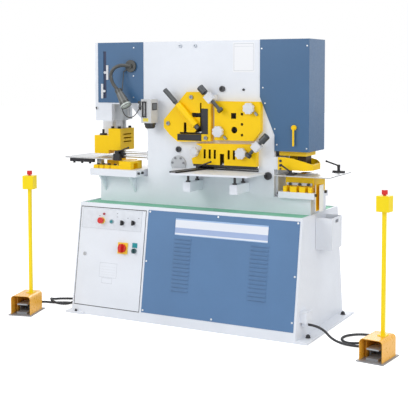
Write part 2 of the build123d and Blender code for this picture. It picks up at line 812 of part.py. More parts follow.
def make_punch_side():
    bed_low = bed_top - bed_thickness
    bed_front = frame_front - bed_reach
    add_above("tool_beds", *bars_round(
        (punch_bed_left, punch_bed_right, bed_front, frame_half + 20),
        (punch_x - slug_half, punch_x + slug_half, -slug_half, slug_half), bed_low, bed_top))
    left = punch_bed_left + 6
    right = punch_bed_right - 62
    front = bed_front + 34
    slab = block(left, right - 94, front, -74, bed_top, bed_top + 22)
    for x in (-722, -681, -632):
        slab = slab - block(x - 4, x + 4, front - 1, front + 50, bed_top - 1, bed_top + 23)
    seat_low = die_top - 30
    bolster = block(punch_x - 70, punch_x + 84, -74, 70, bed_top, die_top - 14)
    bolster = bolster - rod_z(punch_x, 0, bed_top - 1, die_top, die_bore + 6)
    bolster = bolster - rod_z(punch_x, 0, seat_low, die_top, die_radius)
    cheek = block(right - 94, right, front, -50, bed_top, die_top - 7)
    cheek = cheek - block(right - 40, right + 1, -152, -104, bed_top + 3, bed_top + 38)
    die = rod_z(punch_x, 0, seat_low, die_top, die_radius)
    die = die - rod_z(punch_x, 0, seat_low - 1, die_top + 1, die_bore)
    add_above("die_holder", slab, bolster, cheek, die)
    clamps = []
    for x in (-744, -702, -657, -610):
        clamps.append(rod_z(x, front + 28, bed_top + 22, bed_top + 32, 10))
    for y in (bed_front + 22, bed_front + 70):
        clamps.append(rod_x(punch_bed_right, punch_bed_right + 12, y, bed_top - 20, 8))
    add_above("fasteners", *clamps)
    make_support_plate(bed_low)


def make_support_plate(bed_low):
    """The thin plate left of the punch, in three parts round the die, on two legs."""
    low = support_top - support_thickness
    inner_left = punch_bed_left + 22
    inner_right = punch_x + 22
    plates = [block(support_left, inner_left, -support_half_y, support_half_y, low, support_top),
              block(inner_left, inner_right, -support_half_y, -96, low, support_top),
              block(inner_left, inner_right, support_half_y - 30, support_half_y, low, support_top)]
    legs = []
    for y in (-70, 70):
        legs.append(block(punch_bed_left - 34, punch_bed_left, y - 20, y + 20, bed_low + 4, low))
    rail = block(support_left + 40, support_left + 235, -support_half_y, -support_half_y + 20,
                 low - 24, low)
    nuts = []
    for step in range(3):
        x = support_left + 70 + step * 65
        nuts.append(rod_z(x, -support_half_y + 10, low - 34, low - 24, 8))
    add_above("support_plate", *plates, *legs, rail, *nuts)


def make_punch_drive():
    body = rod_z(punch_x, 0, head_plate_high, 1720, cylinder_radius)
    nose = rod_z(punch_x, 0, head_bottom, head_plate_high + 1, nose_radius - 0.2)
    bore = rod_z(punch_x, 0, head_bottom - 1, 1700, ram_radius + ram_clearance)
    add_above("hydraulic_cylinders", body + nose - bore)
    ram = rod_z(punch_x, 0, nut_high, 1640, ram_radius)
    nut = rod_z(punch_x, 0, nut_low, nut_high, ram_radius - 8)
    punch = rod_z(punch_x, 0, punch_tip, nut_low, punch_radius)
    punch = punch - rod_z(punch_x, 0, punch_tip - 1, punch_tip + 3, 3)
    add_above("punch_ram", ram, nut, punch)


def make_stripper():
    """The yellow stripper, plates in a box round the punch, with a foot on its left."""
    x0 = punch_x - stripper_half_x
    x1 = punch_x + stripper_half_x
    half = stripper_half_y
    inner = half - stripper_wall
    inner_left = x0 + stripper_wall
    inner_right = x1 - stripper_wall
    hole = punch_radius + 4
    open_half = ram_radius + 3
    right = block(inner_right, x1, -inner, inner, stripper_low, stripper_high)
    for step in range(3):
        z = stripper_high - 40 - step * 25
        right = right - block(inner_right - 1, x1 + 1, -48, 52, z - 4, z + 4)
    foot = block(stripper_foot_left, x0, -half, half - 60, stripper_foot_low, stripper_foot_high)
    foot = foot - rod_z(screw_x, screw_y, stripper_foot_low - 1, stripper_foot_high + 1, 8.4)
    plates = [block(x0, x1, -half, -inner, stripper_low, stripper_high),
              block(x0, x1, inner, half, stripper_low, stripper_high),
              block(x0, inner_left, -inner, inner, stripper_low, stripper_high), right, foot,
              block(inner_left, inner_right, -inner, -open_half, stripper_high - 10, stripper_high),
              block(inner_left, inner_right, open_half, inner, stripper_high - 10, stripper_high)]
    plates += bars_round((inner_left, inner_right, -inner, inner),
                         (punch_x - hole, punch_x + hole, -hole, hole),
                         stripper_low, stripper_low + 14)
    bolts = []
    for x in (punch_x - 26, punch_x + 26):
        for y in (-half + 20, half - 20):
            bolts.append(rod_z(x, y, stripper_high, stripper_high + 14, 11))
    add_above("stripper", *plates, *bolts)
    knob = rod_z(screw_x, screw_y, stripper_foot_high + 0.3, stripper_foot_high + 12, 25)
    stem = rod_z(screw_x, screw_y, stripper_foot_low + 6, stripper_foot_high + 40, 8)
    add_above("stripper_screw", knob + stem)


def make_punch_fence():
    """Two guide rails on the throat face, a sliding clamp block and its lever."""
    rails = []
    for z in rail_z:
        rails.append(rod_x(-640, throat_x - 8, rail_y, z, rail_radius))
    flange = block(throat_x - 8, throat_x, rail_y - 14, rail_y + 14, rail_z[1] - 18, rail_z[0] + 18)
    add_above("support_plate", *rails, flange)
    middle = (rail_z[0] + rail_z[1]) / 2
    shoe = block(-628, -566, rail_y - 24, rail_y + 20, middle - 26, middle + 24)
    for z in rail_z:
        shoe = shoe - rod_x(-640, -560, rail_y, z, rail_radius + 0.3)
    toe = block(-622, -572, rail_y - 54, rail_y - 23, middle - 40, middle + 6)
    bore = rod((-597, rail_y - 36, middle), (0, 0, 1), 5.4, 10)
    add_above("punch_fence", shoe + toe - bore)
    pivot = (-597, rail_y - 38, middle + 6)
    add_above("punch_fence", clamp_lever(pivot, (0.86, 0.36, 0.36), 78))


def clamp_lever(pivot, direction, length):
    """A black clamping lever on a vertical stud."""
    x, y, z = pivot
    hub = rod((x, y, z), (0, 0, 1), 10, 18)
    norm = math.sqrt(sum(value * value for value in direction))
    unit = tuple(value / norm for value in direction)
    start = (x, y, z + 11)
    arm = rod(start, unit, 5, length)
    tip = tuple(start[i] + unit[i] * length for i in range(3))
    end = Pos(*tip) * Sphere(7)
    return fused([hub, arm, end])


def window_boss(window, gap):
    """The part of a fixed blade holder that fills a window in the frame."""
    x0, x1, z0, z1 = window
    return block(x0 + gap, x1 - gap, frame_front, -beam_half - beam_gap, z0 + gap, z1 - gap)


def angle_cuts(y0, y1):
    """The openings that an angle section passes through."""
    cx = angle_corner_x
    cz = angle_corner_z
    leg_up = block(cx - angle_slot, cx, y0, y1, cz, 1388)
    leg_side = block(-112, cx, y0, y1, cz, cz + angle_slot)
    notch = plate_xz([(cx - 62, cz), (cx, cz), (cx, cz + 62)], y0, y1)
    slot_side = block(-23, cx, y0, y1, 1297, 1324)
    slot_up = block(-82, -62, y0, y1, cz, 1261)
    return fused([leg_up, leg_side, notch, slot_side, slot_up])


def make_angle_station():
    outline = [(-60, 1457), (24, 1457), (113, 1383), (113, 1146), (-128, 1136), (-187, 1181),
               (-230, 1226), (-229, 1277)]
    plate = plate_xz(outline, yellow_front, frame_front)
    plate = plate + window_boss(angle_window, plate_gap)
    plate = plate - angle_cuts(yellow_front - 1, 0)
    plate = plate - block(47, 93, yellow_front - 1, yellow_front + 6, 1190, 1352)
    plate = plate - block(-128, 46, yellow_front - 1, yellow_front + 6, 1146, 1187)
    housing = rod(on_slant(-745), (1, 0, -1), 23, 186)
    housing = housing - block(-300, 300, yellow_front + 6, frame_half, 1000, 1600)
    plate = plate + housing
    plate = plate - rod(on_slant(-800), (1, 0, -1), slant_rod + 0.4, 420)
    add_above("angle_shear_plate", plate)
    bars = block(47.3, 92.7, yellow_front - 2, yellow_front + 6, 1190.3, 1351.7)
    base_bar = block(-127.7, 45.7, yellow_front - 2, yellow_front + 6, 1146.3, 1186.7)
    add_above("shear_blades", bars, base_bar)
    grip = rod(on_slant(-839), (1, 0, -1), 15.5, 112)
    stem = rod(on_slant(-762), (1, 0, -1), slant_rod, 236)
    shoe = rod(on_slant(-611), (1, 0, -1), 17, 24)
    add_above("angle_hold_down", fused([grip, stem, shoe]))
    bolts = []
    for x, z in ((-25, 1424), (-195, 1253), (79, 1166)):
        bolt = rod_y(x, yellow_front - 9, yellow_front, z, 13)
        bolts.append(bolt - hexagon((x, yellow_front - 10, z), (0, 1, 0), 14, 6))
    add_above("fasteners", *bolts)


def on_slant(half_difference):
    """A point on the slanting line of the angle hold-down."""
    return (slant_sum / 2 + half_difference, hold_y, slant_sum / 2 - half_difference)


def make_section_station():
    outline = [(139, 1400), (446, 1400), (457, 1380), (457, 1217), (408, 1157), (139, 1154)]
    plate = plate_xz(outline, yellow_front, frame_front)
    plate = plate + window_boss(section_window, plate_gap)
    plate = plate - section_holes(yellow_front - 1, 0)
    for z in (1322, 1259, 1192):
        plate = plate - rod_y(331, yellow_front - 1, yellow_front + 12, z, 9)
    add_above("section_shear_plate", plate)


def section_holes(y0, y1):
    half = square_bar / 2
    square = block(square_x - half, square_x + half, y0, y1, square_z - half, square_z + half)
    return square + rod_y(round_x, y0, y1, round_z, round_bar)


def make_flat_station():
    outline = [(3, 1128), (140, 1132), (flat_right, 1136), (flat_right, flat_slot_low),
               (-17, flat_slot_low), (-25, 1033), (17, 1050), (52, 1108)]
    plate = plate_xz(outline, yellow_front, frame_front)
    plate = plate + window_boss(flat_window, plate_gap)
    for x in (69, 105, 141, 239, 276):
        plate = plate - block(x - 8, x + 8, yellow_front - 1, yellow_front + 24, 1036, 1094)
    plate = plate - block(177, 207, yellow_front - 1, frame_front + 1, flat_slot_low - 20, 1069)
    add_above("flat_shear_plate", plate)
    add_above("shear_blades", block(-16, flat_right - 6, yellow_front + 6, frame_front,
                                    flat_blade_low, flat_slot_low - 0.5))
    for y0, y1 in ((-inner_half, -beam_half - 4), (beam_half + 4, inner_half)):
        add_above("shear_blades", block(flat_slot[0] + 2, flat_slot[1] - 2, y0, y1,
                                        table_top - 40, table_top - 1))


def make_beam():
    """The shear beam, which swings on its pivot and carries the moving blades."""
    outline = [(pivot_x - 62, pivot_z - 40), (pivot_x + 40, pivot_z - 62), (0, 984),
               (430, flat_slot_low), (500, beam_seat), (690, beam_seat), (690, 1290), (540, 1290),
               (430, 1420), (-60, 1420), (pivot_x - 62, pivot_z + 60)]
    beam = plate_xz(outline, -beam_half, beam_half)
    beam = beam - angle_cuts(-beam_half - 1, beam_half + 1)
    beam = beam - section_holes(-beam_half - 1, beam_half + 1)
    beam = beam - rod_y(pivot_x, -beam_half - 1, beam_half + 1, pivot_z,
                        pivot_radius + pin_clearance)
    hubs = []
    for y0, y1 in ((-70, -beam_half), (beam_half, 70)):
        hub = rod_y(pivot_x, y0, y1, pivot_z, 58)
        hubs.append(hub - rod_y(pivot_x, y0 - 1, y1 + 1, pivot_z, pivot_radius + pin_clearance))
    side = round_bar + 2
    round_room = block(round_x - side, round_x + side, -beam_half - 1, beam_half + 1,
                       round_z - side, round_z + side)
    round_block = beam & round_room
    half = square_bar / 2
    cx = angle_corner_x
    cuts = (-112, -82, -62, -23, cx - 62, 0, cx - angle_slot, cx, square_x - half,
            square_x + half, round_x + side, 500, 540)
    blocks = cut_up(beam - round_room, cuts)
    eye = rod_y(shear_x, -60, 60, eye_z, eye_radius)
    holder = block(554, 730, -inner_half + 3, guard_rear - 14, notch_bar_low, notch_bar_low + 27)
    neck = block(610, 680, -beam_half, beam_half, notch_bar_low + 27, beam_seat)
    punch = block(notch_punch_left, notch_punch_right, -notch_punch_half_y,
                  notch_punch_half_y, notch_punch_low, notch_bar_low)
    eyes = [eye & block(500, 690, -60, -beam_half, 1100, 1400),
            eye & block(500, 690, beam_half, 60, 1100, 1400)]
    add_above("shear_beam", *blocks, round_block, *hubs, *eyes, holder, neck, punch)
    body = rod_z(shear_x, 0, shear_head_high, 1750, cylinder_radius)
    nose = rod_z(shear_x, 0, shear_head_low - 30, shear_head_high + 1, shear_nose - 0.2)
    bore = rod_z(shear_x, 0, shear_head_low - 31, 1730, rod_radius + ram_clearance)
    add_above("hydraulic_cylinders", body + nose - bore)
    shaft = rod_z(shear_x, 0, 1330, 1700, rod_radius)
    fork = block(shear_x - 46, shear_x + 46, -62, 62, 1180, 1340)
    fork = fork - block(shear_x - 47, shear_x + 47, -beam_half - 6, beam_half + 6, 1179, 1316)
    fork = fork - block(shear_x - 24, shear_x + 41, -63, 63, eye_z - 26, eye_z + 26)
    add_above("shear_rod", fork + shaft)


def make_hold_downs():
    """The two slanting hold-down screws with their white brackets."""
    brackets = []
    settings = (("section_hold_down", (119.0, 1421.0), (1, 0, -1), frame_front, (-18, 24), 212),
                ("flat_hold_down", (446.0, 1126.0), (-1, 0, -1), yellow_front, (-40, 10), 184))
    for name, centre, direction, depth, foot_span, reach in settings:
        x, z = centre
        norm = math.sqrt(2)
        ux = direction[0] / norm
        uz = direction[2] / norm
        body = Plane(origin=(x, screw_line, z), z_dir=direction, x_dir=(0, 1, 0))
        bracket = body * Box(42, 46, 54)
        foot = block(x + foot_span[0], x + foot_span[1], screw_line + 10, depth, z - 14, z + 20)
        bracket = bracket + foot
        bracket = bracket - body * Cylinder(11.4, 90)
        brackets.append(bracket)
        top = (x - ux * 96, screw_line, z - uz * 96)
        knob = rod(top, direction, 22, 52)
        shaft = rod(top, direction, 11, reach - 16)
        start = reach - 18
        tip = (top[0] + ux * start, screw_line, top[2] + uz * start)
        add_above(name, fused([knob, shaft, hexagon(tip, direction, 36, 18)]))
    add_above("hand_knobs", *brackets)
    knobs = []
    for x, z, radius in ((385, 1359, 36), (173, 1210, 36), (332, 1078, 36), (3, 1078, 28)):
        seat = frame_front if radius < 36 else yellow_front
        stem = rod_y(x, yellow_front - 10, seat, z, 10)
        knobs.append(stem + lobed_knob(x, yellow_front - 32, z, radius))
    add_above("hand_knobs", *knobs)
    tees = []
    for x, z in ((430, 1326), (218, 1172)):
        tees.append(Pos(x, yellow_front - 6, z) * Rot(0, 45, 0) * Box(26, 12, 14))
    add_above("fasteners", *tees)


def lobed_knob(x, y, z, radius):
    """A white hand knob with eight shallow lobes."""
    knob = rod_y(x, y, y + 24, z, radius)
    for step in range(8):
        angle = math.radians(45 * step)
        px = x + radius * 1.12 * math.cos(angle)
        pz = z + radius * 1.12 * math.sin(angle)
        knob = knob - rod_y(px, y - 1, y + 25, pz, radius * 0.25)
    return knob


def make_flat_table():
    """The thin, slightly turned table before the flat bar shear, on two screwed brackets."""
    add_above("tool_beds", plate_xy(table_plan, table_top - table_thickness, table_top))
    arms = []
    screws = []
    for x in bracket_x:
        arms.append(block(x - bracket_width / 2, x + bracket_width / 2, frame_front - bracket_reach,
                          frame_front, bracket_low, bracket_low + bracket_height))
        for y in (frame_front - bracket_reach + 22, frame_front - 36):
            top = bracket_low + bracket_height
            screw = rod_z(x, y, top, table_top - table_thickness, screw_radius)
            screws.append(screw + hexagon((x, y, top), (0, 0, 1), 28, 8))
    add_above("tool_beds", *arms)
    add_above("fasteners", *screws)
    bar = Pos(31, -263, table_top + 0.4) * Rot(0, 0, -11.5)
    seat = Align.MIN
    flat = (Align.CENTER, Align.CENTER, seat)
    middle = bar * Box(36, fence_length, 7, align=flat)
    edges = [bar * Pos(side * 24, 0, 0) * Box(12, fence_length, 10, align=flat)
             for side in (-1, 1)]
    lever = clamp_lever((36, -200, table_top + 7.4), (0.93, 0.1, 0.36), 96)
    add_above("flat_fence", middle, *edges, lever)


def make_notch_side():
    low = notch_bed_top - notch_bed_thickness
    front = frame_front - notch_reach
    bed = (notch_bed_left, notch_bed_right, front, notch_rear)
    add_above("tool_beds", *bars_round(bed, notch_hole(63), low, notch_bed_top))
    plate_low = notch_table_top - notch_table_thickness
    die = (notch_block_left, notch_block_right, -118, notch_rear)
    add_above("notch_die_block", *bars_round(die, notch_hole(63), notch_bed_top, plate_low))
    slab = block(notch_block_left, notch_block_right, front + 4, -118, notch_bed_top,
                 notch_bed_top + 34)
    for x, half in ((640.5, 11.5), (702.5, 9.5), (759.5, 10.5)):
        slab = slab - block(x - half, x + half, front + 3, -124, notch_bed_top - 1,
                            notch_bed_top + 35)
    add_above("notch_die_block", slab)
    blade = block(notch_block_left + 8, notch_block_right - 10, -124, -118,
                  notch_bed_top + 38, notch_bed_top + 54)
    add_above("shear_blades", blade)
    table = (notch_table_left, notch_table_right, -notch_table_half_y, notch_table_half_y)
    add_above("support_plate", *bars_round(table, notch_hole(63), plate_low, notch_table_top))
    make_chute()
    add_above("notch_guard", notch_guard_band())
    clamps = [rod_x(notch_bed_right, notch_bed_right + 10, front + 9, notch_bed_top - 12, 8),
              rod_x(notch_bed_right, notch_bed_right + 12, 14, notch_bed_top - 8, 9),
              rod_x(notch_bed_left - 10, notch_bed_left, front + 12, notch_bed_top - 12, 8)]
    for x in (640.5, 702.5, 759.5):
        clamps.append(rod_y(x, -134, -124, notch_bed_top + 46, 9))
    for z, radius in ((1040, 8), (1012, 8), (991, 5)):
        clamps.append(rod_y(580, frame_front - guard_wall - 6, frame_front - guard_wall, z, radius))
    add_above("fasteners", *clamps)


def make_chute():
    """The open channel that scrap slides down, at the right end of the notching bed."""
    left = notch_bed_right
    right = left + 28
    front = -146
    back = -84
    low = notch_bed_top - 110
    high = notch_bed_top + 50
    sheet = 3
    walls = [block(left, left + sheet, front, back, low, high),
             block(right - sheet, right, front, back, low, high),
             block(left + sheet, right - sheet, back - sheet, back, low, high)]
    add_above("notch_die_block", *walls)


def notch_guard_band():
    """The yellow guard, a band bent round the notching punch and open under and over."""
    bend = guard_bend
    wall_half = guard_wall / 2
    front = frame_front - wall_half
    rear = guard_rear - wall_half
    right = guard_right - wall_half
    turn = bend - wall_half
    line = FilletPolyline((guard_left, front), (right, front), (right, rear),
                          (guard_rear_left, rear), radius=turn)
    plan = make_face(offset(line, guard_wall / 2, side=Side.BOTH, kind=Kind.ARC))
    band = Pos(0, 0, guard_low) * extrude(plan, amount=guard_high - guard_low, dir=(0, 0, 1))
    top = guard_high
    above = plate_xz([(610, top + 1), (610, top), (660, top - 6), (700, top - 16), (735, top - 24),
                      (760, top - 36), (guard_right + 1, top - 46), (guard_right + 1, top + 1)],
                     frame_front - guard_wall - 1, guard_rear + 1)
    return band - above


def make_notch_fence():
    top = notch_table_top
    add_above("notch_fence", block(640, 676, -186, -100, top + 0.4, top + 10),
              clamp_lever((655, -162, top + 10), (-0.86, -0.2, 0.62), 70))
    stop = block(826, 902, 104, 128, top + 0.4, top + 12)
    stud = rod_z(864, 116, top + 12, top + 32, 9)
    add_above("notch_stop", stop, stud,
              clamp_lever((864, 116, top + 32), (-0.93, 0.0, 0.28), 84))


def make_side_fittings():
    x0 = base_half_length + bin_gap
    x1 = x0 + bin_reach
    box = block(x0, x1, bin_front, bin_back, bin_low, bin_high)
    box = box - block(x0 + bin_wall, x1 - bin_wall, bin_front + bin_wall, bin_back - bin_wall,
                      bin_low + bin_wall, bin_high + 1)
    box = box - block(x1 - bin_wall - 1, x1 + 1, -36, 20, bin_high - 34, bin_high - 14)
    for y in bin_hook_y:
        hook = block(base_half_length - wall - 3.5, x0 + 1, y - 7, y + 7, bin_hook_z, bin_hook_z + 5)
        drop = block(base_half_length - wall - 3.5, base_half_length - wall - 0.5, y - 7, y + 7,
                     bin_hook_z - 8, bin_hook_z + 5)
        box = box + hook + drop
    add("scrap_bin", box)
    cable = block(base_half_length, base_half_length + 44, -345, -262, 108, 172)
    elbow = block(base_half_length + 4, elbow_mouth_x - 8, cable_y - 13, cable_y + 13,
                  cable_z - 13, 109)
    gland = rod_x(elbow_mouth_x - 9, elbow_mouth_x, cable_y, cable_z, 12)
    add("cable_box", fused([cable, elbow, gland]))
    left_gland = rod_x(-base_half_length - 20, -base_half_length, left_gland_y, left_gland_z, 13)
    add("cable_box", left_gland)


def station(place, part):
    x, y, angle = place
    return Pos(x, y, 0) * Rot(0, 0, angle) * part


def make_station(name, place):
    half_w = pedal_width / 2
    half_d = pedal_depth / 2
    plate = block(-half_w, half_w, -half_d, half_d, 0, pedal_plate)
    add("station_bases", station(place, plate))
    hw = hood_width / 2
    y0 = -half_d + 16
    y1 = y0 + hood_depth
    outer = block(-hw, hw, y0, y1, pedal_plate, hood_height)
    shaped = outer.edges().filter_by(Axis.Y).group_by(Axis.Z)[-1]
    outer = fillet(shaped, 22)
    inner = block(-hw + hood_wall, hw - hood_wall, y0 - 1, y1 - hood_wall, pedal_plate - 1,
                  hood_height - hood_wall)
    inner_edges = inner.edges().filter_by(Axis.Y).group_by(Axis.Z)[-1]
    inner = fillet(inner_edges, 22 - hood_wall)
    hood = outer - inner
    for x in (-hw + 15, hw - 15):
        rib = block(x - 2, x + 2, y0 + 60, y1 - 2, pedal_plate, hood_height - hood_wall + 1)
        hood = hood + rib
    hood = hood + rod((gland_x, y1 - 1, gland_z), (0, 1, 0), 12, 15)
    add("station_hoods", station(place, hood))
    tread = block(-36, 36, -78, 20, pedal_plate, pedal_plate + 12)
    cheek = block(-44, -38, -10, 70, pedal_plate, 64) + block(38, 44, -10, 70, pedal_plate, 64)
    bridge = block(-44, 44, 62, 70, pedal_plate, 40)
    pin = rod_x(-44, 44, treadle_y, treadle_z, 5)
    add("station_bases", station(place, fused([tread, cheek, bridge, pin])))
    pad = block(-36, 36, -70, 8, 62, 70)
    pad = pad + block(-20, 20, 6, treadle_y, 58, 70)
    barrel = rod_x(-36, 36, treadle_y, treadle_z, 10)
    pad = pad + barrel
    pad = pad - rod_x(-45, 45, treadle_y, treadle_z, 5.06)
    add(name + "_treadle", station(place, pad))
    half = post_size / 2
    post = block(post_x - half, post_x + half, post_y - half, post_y + half, hood_height,
                 post_box_low + 1)
    size = post_box_size / 2
    box = block(post_x - size, post_x + size, post_y - size + 6, post_y + size - 6,
                post_box_low, post_box_high)
    box = box - rod_z(post_x, post_y, post_box_high - 22, post_box_high + 1,
                      shank_radius + shank_gap)
    foot = block(post_x - 24, post_x + 24, post_y - 24, post_y + 24, hood_height, hood_height + 4)
    add("station_posts", station(place, fused([post, box, foot])))
    top = post_box_high
    cap = rod_z(post_x, post_y, top + 7, top + 32, 17)
    stem = rod_z(post_x, post_y, top - 14, top + 8, shank_radius)
    add(name + "_post_estop", station(place, cap + stem))


def make_lubricator():
    """The oil mist unit on a bracket at the left edge of the frame."""
    x0 = -358.0
    x1 = -282.0
    y0 = -236.0
    rear = frame_front - 24
    body = block(x0, x1, y0, rear, 1254, 1408)
    mount = block(x0 + 10, x1 - 10, rear, frame_front, 1290, 1380)
    bowl = rod_z(-318, -190, 1217, 1242, 34)
    bowl = fillet(bowl.edges().group_by(Axis.Z)[0], 16)
    cap = rod_z(-318, -190, 1242, 1254, 38)
    loop = fused([rod_z(-344, y0 - 6, 1296, 1390, 4.5), rod_z(-322, y0 - 6, 1296, 1390, 4.5),
                  block(-348.5, -317.5, y0 - 10, y0 - 2, 1386, 1394),
                  block(-348.5, -317.5, y0 - 10, y0 - 2, 1292, 1300),
                  block(-339, -327, y0 - 8, y0, 1386, 1394)])
    knob = rod((x0, y0 + 16, 1358), (-1, 0, 0), 22, 15)
    gauge = block(x1, x1 + 4, -224, -168, 1338, 1384)
    add_above("lubricator", body, mount, bowl, cap, loop, knob, gauge)


def make_lamp():
    """A work lamp on a bent metal neck, held by the left cover."""
    front = frame_front - cover_sheet
    flange = rod_y(lamp_x, front - 14, front, lamp_z, lamp_flange)
    collar = rod_y(lamp_x, front - 26, front - 13, lamp_z, lamp_neck + 4)
    points = [(lamp_x, front - 20, lamp_z), (lamp_x - 45, front - 58, lamp_z + 7),
              (lamp_x - 89, front - 74, lamp_z - 12), (lamp_x - 116, front - 78, lamp_z - 58),
              (lamp_x - 97, front - 77, lamp_z - 116), (lamp_x - 51, front - 75, lamp_z - 166)]
    path = FilletPolyline(*points, radius=arc_radii(points))
    neck = sweep((path ^ 0) * Circle(lamp_neck), path=path)
    head = Plane(origin=points[-1], z_dir=lamp_line)
    ring = head * Cylinder(lamp_small + 1.5, 24)
    shade = head * Pos(0, 0, lamp_length / 2) * Cone(lamp_small, lamp_large, lamp_length)
    inner = head * Pos(0, 0, lamp_length - 49) * Cone(lamp_small - 1, lamp_large - 2.8, 100)
    exit_boss = rod((-516.5, -217.5, 1362), cord_exit_line, 5.5, 9)
    lens = head * Pos(0, 0, lamp_length - 11) * Cylinder(lamp_small + 9.6, 6)
    strut = rod((-546, -146, 1588), (23, -60, -138), 3, 152)
    lug = rod((-520, -139, 1606), (-26, -7, -20), 4, 34)
    clip = block(-431, -411, front - 24, front, 1377, 1393)
    add_above("work_lamp", flange + collar, neck, fused([ring, shade]) - inner + exit_boss,
              lens, strut + lug, clip)


def arc_radii(points):
    """The largest tangent arc that each corner of a route has room for."""
    radii = []
    for index in range(1, len(points) - 1):
        before = Vector(*points[index]) - Vector(*points[index - 1])
        after = Vector(*points[index + 1]) - Vector(*points[index])
        half_turn = math.radians(before.get_angle(after)) / 2
        radii.append(0.45 * min(before.length, after.length) / math.tan(half_turn))
    return radii


def make_cord(name, points, diameter):
    radii = arc_radii(points)
    path = FilletPolyline(*points, radius=radii)
    tube = sweep((path ^ 0) * Circle(diameter / 2), path=path)
    expected = math.pi * diameter ** 2 / 4 * path.length
    print(name, "length", round(path.length), "volume ratio", round(tube.volume / expected, 4))
    print("  radii in diameters", [round(radius / diameter, 1) for radius in radii])
    add(name, tube)


def gland_mouth(place):
    """Where a foot station's gland ends, as a point in the object's frame."""
    x, y, angle = place
    turn = math.radians(angle)
    depth = -pedal_depth / 2 + 16 + hood_depth + 14
    return (x + gland_x * math.cos(turn) - depth * math.sin(turn),
            y + gland_x * math.sin(turn) + depth * math.cos(turn), gland_z)


def gland_run(place, length):
    """A point straight out of a foot station's gland."""
    x, y, z = gland_mouth(place)
    turn = math.radians(place[2])
    return (x - length * math.sin(turn), y + length * math.cos(turn), z)


def make_cords():
    floor = conduit_diameter / 2 + 0.5
    side = base_half_length
    right = [(elbow_mouth_x, cable_y, cable_z), (side + 122, cable_y, cable_z),
             (side + 206, cable_y, floor), (side + 395, -315, floor), (side + 471, -239, floor),
             (side + 471, -131, floor), (side + 395, -55, floor), (side + 287, -55, floor),
             (side + 211, -131, floor), (side + 211, -225, floor), (side + 278, -292, floor),
             (side + 401, -275, 28), (side + 487, -256, 28), (side + 529, -274, 29),
             gland_run(right_station, 44), gland_mouth(right_station)]
    make_cord("right_conduit", right, conduit_diameter)
    left = [gland_mouth(left_station), gland_run(left_station, 48), (-side - 284, -338, 22),
            (-side - 246, -285, floor), (-side - 171, -240, floor), (-side - 99, -226, floor),
            (-side - 68, -190, floor), (-side - 72, -138, floor), (-side - 117, -107, floor),
            (-side - 191, -126, floor), (-side - 271, -163, floor), (-side - 299, -196, floor),
            (-side - 300, -238, 20), (-side - 275, -269, 30), (-side - 241, -311, 30),
            (-side - 187, -314, 14), (-side - 121, -266, floor),
            (-side - 64, left_gland_y, left_gland_z), (-side - 20, left_gland_y, left_gland_z)]
    make_cord("left_conduit", left, conduit_diameter)
    lift = base_height - drawn_base_height
    lamp = [(-516, -216.6, 1353.1), (-513, -214, 1324), (-495, -208, 1296), (-463, -201, 1282),
            (-434, -190, 1298), (-422, -172, 1328), (-421, -150, 1348), (-421, -146, 1378)]
    make_cord("lamp_cord", [(x, y, z + lift) for x, y, z in lamp], lamp_cord_diameter)


make_base()
make_anchor_bolts()
make_tray_mat()
make_front_panel()
make_door()
make_controls()
make_inside()
make_frame()
make_spacers()
make_frame_fittings()
make_covers()
make_cover_lever()
make_stroke_stops()
make_punch_side()
make_punch_drive()
make_stripper()
make_punch_fence()
make_angle_station()
make_section_station()
make_flat_station()
make_beam()
make_hold_downs()
make_flat_table()
make_notch_side()
make_notch_fence()
make_side_fittings()
make_station("left", left_station)
make_station("right", right_station)
make_lubricator()
make_lamp()
make_cords()

os.makedirs("parts", exist_ok=True)
for name, solids in nodes.items():
    shape = solids[0] if len(solids) == 1 else Compound(children=solids)
    export_step(shape, f"parts/{name}.step")
print(len(nodes), "nodes")
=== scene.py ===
import math

import bmesh
import bpy
from mathutils import Matrix, Vector


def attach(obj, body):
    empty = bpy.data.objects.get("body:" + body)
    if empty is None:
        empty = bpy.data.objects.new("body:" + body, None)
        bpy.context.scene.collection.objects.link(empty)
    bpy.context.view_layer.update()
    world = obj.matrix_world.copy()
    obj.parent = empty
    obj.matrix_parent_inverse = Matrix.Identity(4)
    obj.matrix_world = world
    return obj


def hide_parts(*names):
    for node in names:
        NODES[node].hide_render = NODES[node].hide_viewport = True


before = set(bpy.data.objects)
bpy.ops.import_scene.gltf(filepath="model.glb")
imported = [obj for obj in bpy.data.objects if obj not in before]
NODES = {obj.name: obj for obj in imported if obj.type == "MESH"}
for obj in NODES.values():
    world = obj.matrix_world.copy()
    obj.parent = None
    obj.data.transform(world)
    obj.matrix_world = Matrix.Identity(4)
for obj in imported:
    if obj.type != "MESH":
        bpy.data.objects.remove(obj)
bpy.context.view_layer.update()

# The cabinet's sloping front, in metres
CABINET_HEIGHT = 0.722
CABINET_SET_BACK = 0.114
CABINET_FOOT = -0.414
SLOPE = math.atan(CABINET_SET_BACK / CABINET_HEIGHT)

# Camera, solved from the photograph: lengths in its pixels, turns in radians, place in metres
PHOTO_SIZE = 408
FOCAL_LENGTH = 941.4
SENSOR_WIDTH = 36.0
CAMERA_SHIFT = -0.17
CAMERA_REACH = 100.0
CAMERA_PLACE = (2.8415, -5.4338, 1.5756)
AZIMUTH = math.radians(27.788)
PITCH = math.radians(3.732)
ROLL = -0.0008


